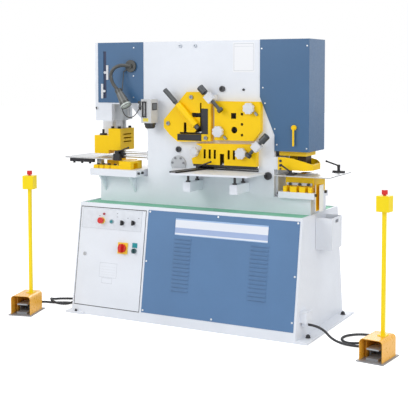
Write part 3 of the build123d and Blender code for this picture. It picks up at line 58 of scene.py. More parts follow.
def make_camera():
    data = bpy.data.cameras.new("camera")
    data.sensor_width = SENSOR_WIDTH
    data.lens = FOCAL_LENGTH / PHOTO_SIZE * SENSOR_WIDTH
    data.shift_y = CAMERA_SHIFT
    data.clip_end = CAMERA_REACH
    cam = bpy.data.objects.new("camera", data)
    bpy.context.scene.collection.objects.link(cam)
    place = Matrix.Translation(CAMERA_PLACE)
    turn = Matrix.Rotation(AZIMUTH, 4, "Z") @ Matrix.Rotation(math.radians(90) - PITCH, 4, "X")
    cam.matrix_world = place @ turn @ Matrix.Rotation(ROLL, 4, "Z")
    bpy.context.scene.camera = cam


make_camera()


# Node helpers
class Nodes:
    """A small wrapper round one material's node tree."""

    def __init__(self, name):
        self.mat = bpy.data.materials.new(name)
        self.mat.use_nodes = True
        self.tree = self.mat.node_tree
        self.shader = self.tree.nodes["Principled BSDF"]
        self.where = self.add("ShaderNodeTexCoord").outputs["Object"]
        self.split = None

    def add(self, kind, **values):
        node = self.tree.nodes.new(kind)
        for key, value in values.items():
            setattr(node, key, value)
        return node

    def link(self, a, b):
        self.tree.links.new(a, b)

    def noise(self, scale, detail=3.0, stretch=None, rough=0.55):
        node = self.add("ShaderNodeTexNoise")
        node.inputs["Scale"].default_value = scale
        node.inputs["Detail"].default_value = detail
        node.inputs["Roughness"].default_value = rough
        source = self.where
        if stretch:
            mapping = self.add("ShaderNodeMapping")
            mapping.inputs["Scale"].default_value = stretch
            self.link(source, mapping.inputs["Vector"])
            source = mapping.outputs["Vector"]
        self.link(source, node.inputs["Vector"])
        return node.outputs["Fac"]

    def ramp(self, value, low, high, dark=0.0, light=1.0):
        node = self.add("ShaderNodeMapRange")
        node.inputs["From Min"].default_value = low
        node.inputs["From Max"].default_value = high
        node.inputs["To Min"].default_value = dark
        node.inputs["To Max"].default_value = light
        self.link(value, node.inputs["Value"])
        return node.outputs["Result"]

    def math(self, kind, a, b):
        node = self.add("ShaderNodeMath", operation=kind)
        for socket, value in zip(node.inputs, (a, b)):
            if isinstance(value, (int, float)):
                socket.default_value = value
            else:
                self.link(value, socket)
        return node.outputs[0]

    def both(self, a, b):
        """The product of two values: 1 where both are 1."""
        return self.math("MULTIPLY", a, b)

    def mix(self, fac, a, b):
        node = self.add("ShaderNodeMix", data_type="RGBA")
        factor = [socket for socket in node.inputs if socket.name == "Factor"][0]
        colours = [socket for socket in node.inputs if socket.type == "RGBA"]
        for socket, value in zip([factor] + colours, (fac, a, b)):
            if isinstance(value, tuple):
                socket.default_value = (*value, 1.0)
            else:
                self.link(value, socket)
        return [socket for socket in node.outputs if socket.type == "RGBA"][0]

    def xyz(self):
        if self.split is None:
            self.split = self.add("ShaderNodeSeparateXYZ")
            self.link(self.where, self.split.inputs[0])
        return self.split.outputs

    def inside(self, value, low, high):
        """1 where the value lies between two limits."""
        above = self.math("GREATER_THAN", value, low)
        below = self.math("LESS_THAN", value, high)
        return self.both(above, below)

    def zone(self, **limits):
        """1 inside a box given as x=(low, high), y=..., z=... in metres."""
        result = None
        for axis, (low, high) in limits.items():
            part = self.inside(self.xyz()["xyz".index(axis)], low, high)
            result = part if result is None else self.both(result, part)
        return result

    def outline(self, line, x, z, **limits):
        """1 on a thin line just inside a rectangle on the front."""
        outer = self.zone(x=x, z=z, **limits)
        inner = self.zone(x=(x[0] + line, x[1] - line), z=(z[0] + line, z[1] - line))
        return self.both(outer, self.math("SUBTRACT", 1.0, inner))

    def along(self, origin, direction):
        """The distance from a point along a direction, in metres."""
        away = Vector(direction).normalized()
        dot = self.add("ShaderNodeVectorMath", operation="DOT_PRODUCT")
        dot.inputs[1].default_value = tuple(away)
        self.link(self.where, dot.inputs[0])
        return self.math("SUBTRACT", dot.outputs["Value"], away.dot(Vector(origin)))

    def proud(self, low, high):
        """1 where a point stands between two distances out of the sloping front."""
        out = self.along((0, CABINET_FOOT, 0), (0, -math.cos(SLOPE), math.sin(SLOPE)))
        return self.inside(out, low, high)

    def tint(self, zone, colour):
        """Another colour in a zone, over what the material has so far."""
        socket = self.shader.inputs["Base Color"]
        before = socket.links[0].from_socket
        self.link(self.mix(zone, before, colour), socket)

    def plain(self, zone):
        """No metal in a zone."""
        self.link(self.math("SUBTRACT", 1.0, zone), self.shader.inputs["Metallic"])

    def bump(self, height, strength, distance, bevel=0.0):
        """Fine relief, over edges that look rounded by the bevel's radius."""
        node = self.add("ShaderNodeBump")
        node.inputs["Strength"].default_value = strength
        node.inputs["Distance"].default_value = distance
        self.link(height, node.inputs["Height"])
        if bevel:
            round_edge = self.add("ShaderNodeBevel", samples=4)
            round_edge.inputs["Radius"].default_value = bevel
            self.link(round_edge.outputs["Normal"], node.inputs["Normal"])
        self.link(node.outputs["Normal"], self.shader.inputs["Normal"])

    def edges(self, radius, low=0.02, high=0.25):
        """1 on worn edges, 0 on flats."""
        bevel = self.add("ShaderNodeBevel", samples=4)
        bevel.inputs["Radius"].default_value = radius
        geometry = self.add("ShaderNodeNewGeometry")
        dot = self.add("ShaderNodeVectorMath", operation="DOT_PRODUCT")
        self.link(bevel.outputs["Normal"], dot.inputs[0])
        self.link(geometry.outputs["Normal"], dot.inputs[1])
        away = self.math("SUBTRACT", 1.0, dot.outputs["Value"])
        return self.ramp(away, low, high)


def scaled(colour, factor):
    return tuple(min(1.0, part * factor) for part in colour)


def paint(name, colour, rough=0.35, coat=0.25, texture=0.12, grain=900.0, wear=None, dirt=0.05,
          bevel=0.0016, shine=0.5):
    """Painted metal with an orange-peel grain, faint colour drift and optional worn edges."""
    n = Nodes(name)
    drift = n.ramp(n.noise(3.0, 4.0), 0.3, 0.7)
    speck = n.ramp(n.noise(60.0, 5.0), 0.35, 0.75)
    tone = n.mix(drift, scaled(colour, 1 - dirt), scaled(colour, 1 + dirt * 0.5))
    soiled = n.mix(n.both(speck, dirt), tone, scaled(colour, 0.75))
    if wear:
        worn = n.both(n.edges(0.003), n.ramp(n.noise(140.0, 4.0), 0.45, 0.6))
        soiled = n.mix(n.both(worn, 0.5), soiled, wear)
    n.link(soiled, n.shader.inputs["Base Color"])
    n.link(n.ramp(speck, 0.0, 1.0, rough - 0.05, rough + 0.08), n.shader.inputs["Roughness"])
    n.shader.inputs["Coat Weight"].default_value = coat
    n.shader.inputs["Coat Roughness"].default_value = 0.18
    n.shader.inputs["Specular IOR Level"].default_value = shine
    n.bump(n.noise(grain, 2.0), texture, 0.0006, bevel)
    return n


def metal(name, colour, rough=0.32, stretch=(1.0, 1.0, 30.0), bevel=0.0012, grain=0.25):
    """Ground or machined steel with fine lines along one direction."""
    n = Nodes(name)
    lines = n.noise(70.0, 6.0, stretch)
    patch = n.ramp(n.noise(8.0, 3.0), 0.3, 0.7)
    tone = n.mix(n.ramp(lines, 0.3, 0.7), scaled(colour, 0.82), scaled(colour, 1.1))
    n.link(n.mix(n.both(patch, 0.25), tone, scaled(colour, 0.6)), n.shader.inputs["Base Color"])
    n.shader.inputs["Metallic"].default_value = 1.0
    n.link(n.ramp(lines, 0.2, 0.8, rough - 0.07, rough + 0.12), n.shader.inputs["Roughness"])
    n.bump(lines, grain, 0.0004, bevel)
    return n


def plastic(name, colour, rough=0.4, grain=0.1, coat=0.0, bevel=0.0010):
    """Moulded plastic or rubber with a fine grain."""
    n = Nodes(name)
    tone = n.mix(n.ramp(n.noise(25.0, 3.0), 0.3, 0.7), scaled(colour, 0.9), colour)
    n.link(tone, n.shader.inputs["Base Color"])
    gloss = n.ramp(n.noise(300.0, 3.0), 0.3, 0.7, rough - 0.06, rough + 0.06)
    n.link(gloss, n.shader.inputs["Roughness"])
    n.shader.inputs["Coat Weight"].default_value = coat
    n.bump(n.noise(1500.0, 2.0), grain, 0.0003, bevel)
    return n


# Colours that several pieces share
WHITE = (0.80, 0.83, 0.89)
NAVY = (0.008, 0.020, 0.070)
INK = (0.018, 0.018, 0.020)
SILVER = (0.72, 0.74, 0.76)
YELLOW = (0.97, 0.62, 0.001)
TEAL = (0.000, 0.26, 0.30)
WORN_YELLOW = (0.45, 0.33, 0.10)


def white_paint(name, rough=0.42, bevel=0.0016):
    return paint(name, WHITE, rough=rough, texture=0.10, bevel=bevel)


def enamel(name, wear=None, bevel=0.0016):
    """The bright yellow of the tools."""
    return paint(name, YELLOW, rough=0.36, coat=0.0, wear=wear, dirt=0.03, bevel=bevel, shine=0.3)


def frame_look():
    """White paint with painted shade in the slot behind the left cover, and a bare chart plate."""
    shaded_cover_slot = dict(x=(-0.717, -0.694), z=(1.408, 1.722), y=(-0.140, -0.1285))
    chart_plate = dict(x=(0.2505, 0.4005), z=(1.5815, 1.7685), y=(-0.1320, -0.1292))
    chart_frame = dict(x=(0.258, 0.393), z=(1.590, 1.760), y=(-0.1320, -0.1305))
    chart_rule = dict(x=(0.262, 0.389), z=(1.7415, 1.7430), y=(-0.1320, -0.1305))
    n = white_paint("frame_white", bevel=0.0)
    # painted shade: the frame seen in the slot behind the left cover is painted dark navy for the shade in
    # the gap
    n.tint(n.zone(**shaded_cover_slot), NAVY)
    n.tint(n.zone(**chart_plate), (0.86, 0.87, 0.90))
    n.tint(n.outline(0.0018, **chart_frame), (0.42, 0.45, 0.50))
    n.tint(n.zone(**chart_rule), (0.50, 0.53, 0.58))
    return n


def base_look():
    """White paint, with painted shade in the gap round the door."""
    n = white_paint("base_white", bevel=0.0)
    behind_door = n.zone(x=(-0.79, -0.26), z=(0.04, 0.72))
    # painted shade: the cabinet face just behind the door, in the gap round it, is darkened as shade
    n.tint(n.both(n.proud(-0.012, -0.0022), behind_door), (0.035, 0.037, 0.045))
    return n


def door_look():
    """The door, with the outlines of two blank plates and a few rules on the larger one."""
    grey_line = (0.45, 0.47, 0.52)
    line = 0.0014
    rule = 0.0012
    n = white_paint("door_white", rough=0.40)
    n.tint(n.outline(line, x=(-0.602, -0.469), z=(0.250, 0.343)), grey_line)
    n.tint(n.outline(line, x=(-0.580, -0.500), z=(0.212, 0.246)), grey_line)
    for z in (0.318, 0.300, 0.282, 0.268):
        n.tint(n.zone(x=(-0.590, -0.482), z=(z, z + rule)), (0.66, 0.68, 0.72))
    return n


def control_look():
    """The white plate and rings of the door's controls, and a few short marks."""
    estop_ring = dict(x=(-0.632, -0.586), z=(0.585, 0.640))
    pilot_lamp = dict(x=(-0.606, -0.586), z=(0.645, 0.668))
    start_ring = dict(x=(-0.550, -0.518), z=(0.590, 0.628))
    selector_rings = dict(x=(-0.470, -0.348), z=(0.585, 0.635))
    switch_plate = dict(x=(-0.472, -0.396), z=(0.405, 0.488))
    above_key = dict(x=(-0.366, -0.326), z=(0.454, 0.492))
    key_ring = dict(x=(-0.366, -0.326), z=(0.415, 0.4535))
    marks = ((-0.636, 0.640), (-0.500, 0.640), (-0.418, 0.638), (-0.336, 0.642), (-0.500, 0.662))
    mark_width = 0.010
    mark_height = 0.003
    n = plastic("control_white", (0.78, 0.81, 0.87), rough=0.35)
    n.tint(n.outline(0.0016, x=(-0.764, -0.308), z=(0.558, 0.6865)), (0.50, 0.52, 0.57))
    raised = n.proud(0.0022, 0.03)
    for place, colour in ((estop_ring, (0.93, 0.62, 0.03)), (pilot_lamp, (0.38, 0.01, 0.03)),
                          (start_ring, (0.25, 0.36, 0.38)), (selector_rings, (0.30, 0.31, 0.33))):
        n.tint(n.both(raised, n.zone(**place)), colour)
    for place, colour in ((switch_plate, (0.93, 0.60, 0.04)), (above_key, TEAL),
                          (key_ring, (0.10, 0.16, 0.17))):
        n.tint(n.zone(**place), colour)
    for x, z in marks:
        n.tint(n.zone(x=(x, x + mark_width), z=(z, z + mark_height)), (0.20, 0.21, 0.24))
    return n


def panel_look():
    """The blue front panel with its plain two-tone strip."""
    strip_width = (-0.0575, 0.5805)
    bands = (((0.5605, 0.6645), (0.80, 0.83, 0.90)), ((0.5605, 0.5660), (0.42, 0.58, 0.80)),
             ((0.5750, 0.6080), (0.36, 0.46, 0.70)), ((0.6560, 0.6645), (0.36, 0.52, 0.78)))
    n = paint("panel_blue", (0.088, 0.198, 0.385), rough=0.40, texture=0.25, grain=700.0, dirt=0.06)
    strip = n.proud(0.0022, 0.0060)
    for height, colour in bands:
        n.tint(n.both(strip, n.zone(x=strip_width, z=height)), colour)
    return n


def stripper_look():
    """Yellow enamel with black cap screws on top."""
    n = enamel("stripper_yellow")
    n.tint(n.zone(z=(1.2022, 1.2300)), INK)
    return n


def beam_look():
    """Dark steel, with the brown notching punch and the yellow bar that holds it."""
    punch = dict(x=(0.6545, 0.7105), y=(-0.05, 0.05), z=(0.98, 1.0688))
    bar = dict(x=(0.553, 0.731), y=(-0.100, 0.070), z=(1.0690, 1.0961))
    n = metal("beam_steel", (0.15, 0.155, 0.17), rough=0.42, stretch=(1.0, 14.0, 14.0), bevel=0.0)
    n.tint(n.zone(**punch), (0.10, 0.075, 0.055))
    painted = n.zone(**bar)
    n.tint(painted, YELLOW)
    n.plain(painted)
    return n


def support_look():
    """Bright ground plate, with a dark bar under the left one."""
    rail = dict(x=(-1.000, -0.780), y=(-0.155, -0.125), z=(0.950, 0.9968))
    n = metal("plate_steel", (0.62, 0.63, 0.65), rough=0.38, stretch=(1.0, 20.0, 1.0), bevel=0.0)
    n.tint(n.zone(**rail), (0.05, 0.05, 0.055))
    return n


def bolt_look():
    """Blackened bolts, silver screws on covers and panel, grey ones on shear plates and frame top."""
    left_cover = dict(x=(-0.770, -0.460), y=(-0.1400, -0.1315), z=(1.105, 1.775))
    right_cover = dict(x=(0.430, 0.770), y=(-0.1400, -0.1315), z=(1.105, 1.775))
    front_panel = dict(y=(-0.430, -0.290), z=(0.060, 0.710))
    shear_plates = dict(y=(-0.180, -0.1655), z=(1.100, 1.500))
    frame_top = dict(y=(-0.140, -0.1288), x=(-0.140, 0.000), z=(1.730, 1.775))
    n = metal("bolt_steel", (0.085, 0.085, 0.09), rough=0.35, stretch=(1.0, 1.0, 1.0))
    for place, colour in ((left_cover, SILVER), (right_cover, SILVER), (front_panel, SILVER),
                          (shear_plates, (0.30, 0.32, 0.35)), (frame_top, (0.42, 0.45, 0.50))):
        n.tint(n.zone(**place), colour)
    return n


def pivot_look():
    """A pale disc with small grey bolts."""
    n = paint("pivot_grey", (0.52, 0.54, 0.57), rough=0.38, texture=0.10)
    n.tint(n.zone(y=(-0.150, -0.1392)), (0.22, 0.23, 0.25))
    return n


def lubricator_look():
    """A pale housing with a black handle, knob and bowl, and a dark gauge."""
    bowl = dict(z=(1.210, 1.2538))
    handle = dict(y=(-0.260, -0.2362))
    knob = dict(x=(-0.400, -0.3582))
    gauge = dict(x=(-0.2818, -0.270))
    gauge_glass = dict(x=(-0.2818, -0.270), z=(1.344, 1.378), y=(-0.219, -0.173))
    yellow_mark = dict(x=(-0.344, -0.304), z=(1.264, 1.286), y=(-0.2370, -0.2355))
    n = paint("lubricator_grey", (0.60, 0.61, 0.62), rough=0.35, dirt=0.05)
    for place in (bowl, handle, knob, gauge):
        n.tint(n.zone(**place), INK)
    n.tint(n.zone(**gauge_glass), (0.13, 0.14, 0.15))
    n.tint(n.zone(**yellow_mark), (0.75, 0.62, 0.08))
    return n


def lamp_look():
    """Dark grey metal, a lighter middle band on the head and a pale glass."""
    head = (-0.547, -0.207, 1.457)
    line = (0.56, -0.1, -0.82)
    band = (0.014, 0.085)
    glass = (0.1035, 0.114)
    n = plastic("lamp_grey", (0.055, 0.058, 0.055), rough=0.38, coat=0.3)
    along = n.along(head, line)
    near = n.zone(x=(-0.60, -0.42), z=(1.30, 1.48))
    n.tint(n.both(near, n.inside(along, *band)), (0.11, 0.115, 0.11))
    n.tint(n.both(near, n.inside(along, *glass)), (0.50, 0.56, 0.52))
    return n


def fence_look():
    """A dark fence bar with a lighter ground face between its edges."""
    turn = math.radians(-11.5)
    middle = (0.031, -0.263, 0.965)
    half_face = 0.0178
    n = metal("fence_steel", (0.06, 0.06, 0.065), rough=0.40, stretch=(8.0, 1.0, 1.0))
    across = n.along(middle, (math.cos(turn), math.sin(turn), 0))
    face = n.both(n.inside(across, -half_face, half_face), n.zone(z=(0.9650, 0.9726)))
    n.tint(face, (0.30, 0.30, 0.31))
    return n


def shear_plate_look():
    """Yellow enamel, with painted shade inside the holes and slots for stock."""
    depth = (-0.1605, -0.0100)
    n = enamel("plate_yellow", wear=WORN_YELLOW)
    # painted shade: the walls inside the holes and slots are darkened to a shaded brown
    for x, z in (((0.250, 0.302), (1.198, 1.332)), ((0.318, 0.344), (1.180, 1.336)),
                 ((0.058, 0.286), (1.034, 1.096)), ((0.1765, 0.2075), (0.970, 1.071)),
                 ((-0.113, 0.046), (1.187, 1.390))):
        n.tint(n.zone(x=x, z=z, y=depth), (0.075, 0.045, 0.010))
    return n


def chute_look():
    """Yellow paint, with painted light on the chute at the right end: a pale lit right side and pale
    highlighted front edges.
    """
    height = (0.740, 0.910)
    side = dict(x=(0.8395, 0.8450), y=(-0.150, -0.080))
    front = dict(x=(0.8120, 0.8450), y=(-0.150, -0.1455))
    n = enamel("notch_yellow", bevel=0.0)
    # painted light: the chute's right side is paled as a lit face and its front as a highlight
    n.tint(n.zone(z=height, **side), (0.86, 0.86, 0.80))
    n.tint(n.zone(z=height, **front), (0.88, 0.87, 0.76))
    return n


def blade_look():
    """Dark blades, with a bright strip before the notching die."""
    strip = dict(x=(0.60, 0.80), y=(-0.130, -0.110), z=(0.880, 0.920))
    n = metal("blade_steel", (0.06, 0.06, 0.065), rough=0.42, stretch=(8.0, 1.0, 1.0), bevel=0.0)
    n.tint(n.zone(**strip), (0.50, 0.52, 0.55))
    return n


def mat_look():
    """A ribbed rubber mat."""
    n = Nodes("green_mat")
    ribs = n.add("ShaderNodeTexWave", wave_type="BANDS", bands_direction="Y")
    ribs.inputs["Scale"].default_value = 55.0
    ribs.inputs["Distortion"].default_value = 0.0
    n.link(n.where, ribs.inputs["Vector"])
    drift = n.ramp(n.noise(6.0, 4.0), 0.3, 0.7)
    n.link(n.mix(drift, (0.20, 0.52, 0.35), (0.27, 0.60, 0.43)), n.shader.inputs["Base Color"])
    n.link(n.ramp(n.noise(90.0), 0.3, 0.7, 0.5, 0.62), n.shader.inputs["Roughness"])
    n.shader.inputs["Specular IOR Level"].default_value = 0.12
    n.bump(ribs.outputs["Fac"], 0.3, 0.0008)
    return n


blue = paint("cover_blue", (0.040, 0.122, 0.255), rough=0.38, coat=0.35, texture=0.25, grain=700.0,
             dirt=0.06)
white = white_paint("white_paint")
flat_white = white_paint("flat_white", bevel=0.0)
yellow = enamel("yellow_paint", wear=WORN_YELLOW)
post_yellow = paint("post_yellow", (0.96, 0.73, 0.003), rough=0.34, coat=0.0, dirt=0.03, shine=0.35)
orange = paint("hood_orange", (0.93, 0.47, 0.04), rough=0.30, coat=0.3, dirt=0.05)
grey = paint("grey_paint", (0.30, 0.31, 0.33), rough=0.4, dirt=0.1, texture=0.35, grain=350.0)
light_grey = paint("light_grey", (0.42, 0.46, 0.50), rough=0.35, dirt=0.05)
cylinder_grey = paint("cylinder_grey", (0.62, 0.65, 0.68), rough=0.35, dirt=0.05)
dark = metal("dark_steel", (0.06, 0.06, 0.065), rough=0.42, stretch=(8.0, 1.0, 1.0))
grip_grey = metal("grip_grey", (0.11, 0.115, 0.12), rough=0.42, stretch=(6.0, 6.0, 6.0))
steel = metal("machined_steel", (0.55, 0.56, 0.58), rough=0.34, stretch=(1.0, 14.0, 14.0))
black = plastic("black_plastic", (0.02, 0.02, 0.022), rough=0.45)
red = plastic("red_plastic", (0.70, 0.020, 0.018), rough=0.28, coat=0.3)
green = plastic("teal_plastic", TEAL, rough=0.3, coat=0.3)
key_green = plastic("key_teal", (0.04, 0.10, 0.11), rough=0.35)
white_plastic = plastic("white_plastic", (0.74, 0.75, 0.78), rough=0.35)
conduit_look = plastic("conduit_rubber", (0.035, 0.036, 0.04), rough=0.5)
frame_white = frame_look()
plate_yellow = shear_plate_look()
LOOKS = {
    "base_cabinet": base_look(), "frame_front_plate": frame_white, "frame_rear_plate": flat_white,
    "frame_spacers": flat_white, "cabinet_door": door_look(), "tool_beds": flat_white,
    "hand_knobs": white_plastic, "scrap_bin": white, "cable_box": white, "front_panel": panel_look(),
    "frame_covers": blue, "tray_mat": mat_look(), "die_holder": yellow, "stripper": stripper_look(),
    "angle_shear_plate": plate_yellow, "section_shear_plate": plate_yellow,
    "flat_shear_plate": plate_yellow,
    "notch_die_block": chute_look(), "notch_guard": yellow, "station_posts": post_yellow,
    "cover_lever": yellow, "station_hoods": orange, "fasteners": bolt_look(), "shear_blades": blade_look(),
    "flat_fence": fence_look(), "punch_fence": dark, "notch_fence": dark, "notch_stop": dark,
    "stripper_screw": black, "door_lock": steel, "punch_ram": steel, "support_plate": support_look(),
    "beam_pivot": pivot_look(), "shear_rod": steel, "shear_beam": beam_look(), "door_hinges": steel,
    "angle_hold_down": grip_grey, "section_hold_down": grip_grey, "flat_hold_down": grip_grey,
    "hydraulic_cylinders": cylinder_grey, "cabinet_equipment": grey, "station_bases": grey,
    "left_treadle": light_grey, "right_treadle": light_grey, "lubricator": lubricator_look(),
    "selector_left": black, "selector_right": black, "work_lamp": lamp_look(),
    "control_plate": control_look(),
    "stroke_stop_upper": white_plastic, "stroke_stop_lower": white_plastic, "panel_estop": red,
    "main_switch_knob": red, "left_post_estop": red, "right_post_estop": red, "start_button": green,
    "key_switch": key_green, "lamp_cord": black,
}
for node, look in LOOKS.items():
    obj = NODES[node]
    obj.data.materials.clear()
    obj.data.materials.append(look.mat)


# Cords, in metres; FLOOR is the height of a conduit's middle where it lies on the floor
CONDUIT_RADIUS = 0.008
RIB_PITCH = 0.0052
RIB_DEPTH = 0.0011
LAMP_CORD_RADIUS = 0.003
PATH_STEP = 0.006
ROUTE_STEPS = 6
TOO_SHORT = 1e-4
GLAND_SIDE = 0.026
GLAND_DEPTH = 0.106
GLAND_HEIGHT = 0.030
FLOOR = 0.0085


def smooth_route(name, points):
    """A NURBS curve with the route's points as its control points."""
    data = bpy.data.curves.new(name, "CURVE")
    data.dimensions = "3D"
    spline = data.splines.new("NURBS")
    spline.points.add(len(points) - 1)
    for place, point in zip(spline.points, points):
        place.co = (*point, 1.0)
    spline.order_u = 3
    spline.use_endpoint_u = True
    data.resolution_u = ROUTE_STEPS
    obj = bpy.data.objects.new(name, data)
    bpy.context.scene.collection.objects.link(obj)
    return obj


def read_line(route):
    """The points of a curve with no bevel, in order."""
    graph = bpy.context.evaluated_depsgraph_get()
    mesh = bpy.data.meshes.new_from_object(route.evaluated_get(graph))
    line = [Vector(v.co) for v in mesh.vertices]
    bpy.data.meshes.remove(mesh)
    return line


def even_points(line, step):
    """Points a fixed distance apart along a line."""
    result = [line[0].copy()]
    left = step
    for a, b in zip(line, line[1:]):
        length = (b - a).length
        while left < length:
            result.append(a.lerp(b, left / length))
            left += step
        left -= length
    result.append(line[-1].copy())
    return result


def ribbed_tube(name, line, radius, pitch, depth, sides=14):
    """A corrugated conduit: rings of a mesh tube, every other one smaller."""
    points = even_points(line, pitch / 2)
    last = len(points) - 1
    turns = [2 * math.pi * k / sides for k in range(sides)]
    bm = bmesh.new()
    rings = []
    side = Vector((0, 0, 1))
    for i, point in enumerate(points):
        ahead = (points[min(i + 1, last)] - points[max(i - 1, 0)]).normalized()
        side = side - ahead * side.dot(ahead)
        if side.length < TOO_SHORT:
            side = ahead.orthogonal()
        side.normalize()
        up = ahead.cross(side)
        reach = radius if i % 2 else radius - depth
        rings.append([bm.verts.new(point + (side * math.cos(t) + up * math.sin(t)) * reach)
                      for t in turns])
    for a, b in zip(rings, rings[1:]):
        for k in range(sides):
            after = (k + 1) % sides
            bm.faces.new((a[k], a[after], b[after], b[k]))
    bm.faces.new(list(reversed(rings[0])))
    bm.faces.new(rings[-1])
    bmesh.ops.recalc_face_normals(bm, faces=bm.faces)
    mesh = bpy.data.meshes.new(name)
    bm.to_mesh(mesh)
    bm.free()
    for face in mesh.polygons:
        face.use_smooth = True
    obj = bpy.data.objects.new(name, mesh)
    bpy.context.scene.collection.objects.link(obj)
    return obj


def line_length(line):
    return sum((b - a).length for a, b in zip(line, line[1:]))


def make_conduit(name, node, points):
    """A ribbed tube along a route, in place of a solid of the part."""
    route = smooth_route(name + "_route", points)
    line = read_line(route)
    bpy.data.objects.remove(route)
    tube = ribbed_tube(name, line, CONDUIT_RADIUS, RIB_PITCH, RIB_DEPTH)
    tube.data.materials.append(conduit_look.mat)
    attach(tube, "machine")
    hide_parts(node)
    path = [tuple(p) for p in even_points(line, PATH_STEP)]


def gland_run(place, length):
    """A point straight out of a foot station's gland, at a distance from its mouth."""
    x, y, angle = place
    turn = math.radians(angle)
    depth = GLAND_DEPTH + length
    return (x + GLAND_SIDE * math.cos(turn) - depth * math.sin(turn),
            y + GLAND_SIDE * math.sin(turn) + depth * math.cos(turn), GLAND_HEIGHT)


# The foot stations' places and turns, in metres and degrees
LEFT = (-1.060, -0.546, 14.0)
RIGHT = (1.305, -0.460, -6.0)
RIGHT_ROUTE = [
    (0.836, -0.310, 0.096), (0.916, -0.310, 0.096), (1.000, -0.310, FLOOR), (1.189, -0.315, FLOOR),
    (1.265, -0.239, FLOOR), (1.265, -0.131, FLOOR), (1.189, -0.055, FLOOR), (1.081, -0.055, FLOOR),
    (1.005, -0.131, FLOOR), (1.005, -0.225, FLOOR), (1.072, -0.292, FLOOR), (1.195, -0.275, 0.028),
    (1.281, -0.256, 0.028), (1.323, -0.274, 0.029), gland_run(RIGHT, 0.044), gland_run(RIGHT, 0.0)]
LEFT_ROUTE = [
    gland_run(LEFT, 0.0), gland_run(LEFT, 0.048), (-1.078, -0.338, 0.022), (-1.040, -0.285, FLOOR),
    (-0.965, -0.240, FLOOR), (-0.893, -0.226, FLOOR), (-0.862, -0.190, FLOOR), (-0.866, -0.138, FLOOR),
    (-0.911, -0.107, FLOOR), (-0.985, -0.126, FLOOR), (-1.065, -0.163, FLOOR), (-1.093, -0.196, FLOOR),
    (-1.094, -0.238, 0.020), (-1.069, -0.269, 0.030), (-1.035, -0.311, 0.030), (-0.981, -0.314, 0.014),
    (-0.915, -0.266, FLOOR), (-0.858, -0.262, 0.052), (-0.814, -0.262, 0.052)]
make_conduit("right_conduit_ribbed", "right_conduit", RIGHT_ROUTE)
make_conduit("left_conduit_ribbed", "left_conduit", LEFT_ROUTE)

LAMP_ROUTE = [
    (-0.516, -0.2166, 1.3531), (-0.513, -0.214, 1.324), (-0.495, -0.208, 1.296), (-0.463, -0.201, 1.282),
    (-0.434, -0.190, 1.298), (-0.422, -0.172, 1.328), (-0.421, -0.150, 1.348), (-0.421, -0.146, 1.378)]


def make_lamp_cord():
    cable = smooth_route("lamp_cord_line", LAMP_ROUTE)
    length = line_length(read_line(cable))
    cable.data.bevel_depth = LAMP_CORD_RADIUS
    cable.data.bevel_resolution = 3
    cable.data.materials.append(black.mat)
    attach(cable, "machine")
    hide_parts("lamp_cord")


make_lamp_cord()


# Studio, in metres; each lamp has its place, target, size and power in watts
STUDIO_HALF = 30
STUDIO_FLOOR = -0.0005
WORLD_LIGHT = 0.56
FLOOR_GLOW = 0.62
SOFTBOXES = (("key", (-2.6, -4.6, 3.6), (0, 0, 0.8), (3.2, 2.6), 105.0),
             ("fill", (4.6, -2.2, 2.6), (0, 0, 0.8), (2.6, 2.6), 72.0),
             ("top", (0.2, 0.6, 4.4), (0, 0, 0.5), (3.6, 2.4), 62.0),
             ("back", (-1.5, 4.2, 2.8), (0, 0, 0.8), (3.0, 2.2), 50.0))


def either(tree, a, b):
    """1 where one of two values is 1."""
    node = tree.nodes.new("ShaderNodeMath")
    node.operation = "MAXIMUM"
    tree.links.new(a, node.inputs[0])
    tree.links.new(b, node.inputs[1])
    return node.outputs[0]


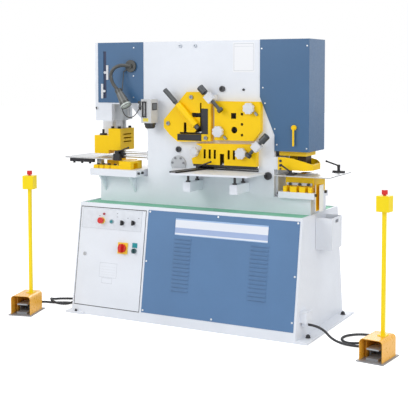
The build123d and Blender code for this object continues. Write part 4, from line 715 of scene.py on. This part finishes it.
def make_world():
    """A soft pale surround, seen as plain white directly, through glass and in mirrors."""
    world = bpy.data.worlds.new("studio")
    world.use_nodes = True
    tree = world.node_tree
    back = tree.nodes["Background"]
    back.inputs["Color"].default_value = (0.96, 0.98, 1.0, 1.0)
    back.inputs["Strength"].default_value = WORLD_LIGHT
    bright = tree.nodes.new("ShaderNodeBackground")
    bright.inputs["Color"].default_value = (1.0, 1.0, 1.0, 1.0)
    bright.inputs["Strength"].default_value = 1.0
    rays = tree.nodes.new("ShaderNodeLightPath").outputs
    shown = either(tree, rays["Is Camera Ray"], rays["Is Transmission Ray"])
    shown = either(tree, shown, rays["Is Glossy Ray"])
    mix = tree.nodes.new("ShaderNodeMixShader")
    tree.links.new(shown, mix.inputs[0])
    tree.links.new(back.outputs[0], mix.inputs[1])
    tree.links.new(bright.outputs[0], mix.inputs[2])
    tree.links.new(mix.outputs[0], tree.nodes["World Output"].inputs["Surface"])
    bpy.context.scene.world = world


def make_floor():
    """A pale floor that keeps the shadow, a little brighter to the camera alone."""
    far = STUDIO_HALF
    corners = ((-far, -far), (far, -far), (far, far), (-far, far))
    mesh = bpy.data.meshes.new("studio_floor")
    mesh.from_pydata([(x, y, STUDIO_FLOOR) for x, y in corners], [], [(0, 1, 2, 3)])
    floor = bpy.data.objects.new("studio_floor", mesh)
    bpy.context.scene.collection.objects.link(floor)
    look = bpy.data.materials.new("studio_floor")
    look.use_nodes = True
    nodes = look.node_tree.nodes
    links = look.node_tree.links
    shader = nodes["Principled BSDF"]
    shader.inputs["Base Color"].default_value = (0.86, 0.86, 0.87, 1.0)
    shader.inputs["Roughness"].default_value = 0.9
    glow = nodes.new("ShaderNodeEmission")
    glow.inputs["Color"].default_value = (1.0, 1.0, 1.0, 1.0)
    path = nodes.new("ShaderNodeLightPath")
    level = nodes.new("ShaderNodeMath")
    level.operation = "MULTIPLY"
    level.inputs[1].default_value = FLOOR_GLOW
    links.new(path.outputs["Is Camera Ray"], level.inputs[0])
    links.new(level.outputs[0], glow.inputs["Strength"])
    add = nodes.new("ShaderNodeAddShader")
    links.new(shader.outputs[0], add.inputs[0])
    links.new(glow.outputs[0], add.inputs[1])
    links.new(add.outputs[0], nodes["Material Output"].inputs["Surface"])
    mesh.materials.append(look)


def make_softbox(name, place, target, size, power):
    """A rectangular lamp that looks at a point of the machine."""
    data = bpy.data.lights.new(name, "AREA")
    data.shape = "RECTANGLE"
    data.size, data.size_y = size
    data.energy = power
    lamp = bpy.data.objects.new(name, data)
    lamp.location = place
    aim = Vector(target) - Vector(place)
    lamp.rotation_euler = aim.to_track_quat("-Z", "Y").to_euler()
    bpy.context.scene.collection.objects.link(lamp)


make_world()
make_floor()
for softbox in SOFTBOXES:
    make_softbox(*softbox)
bpy.context.scene.view_settings.view_transform = "Standard"
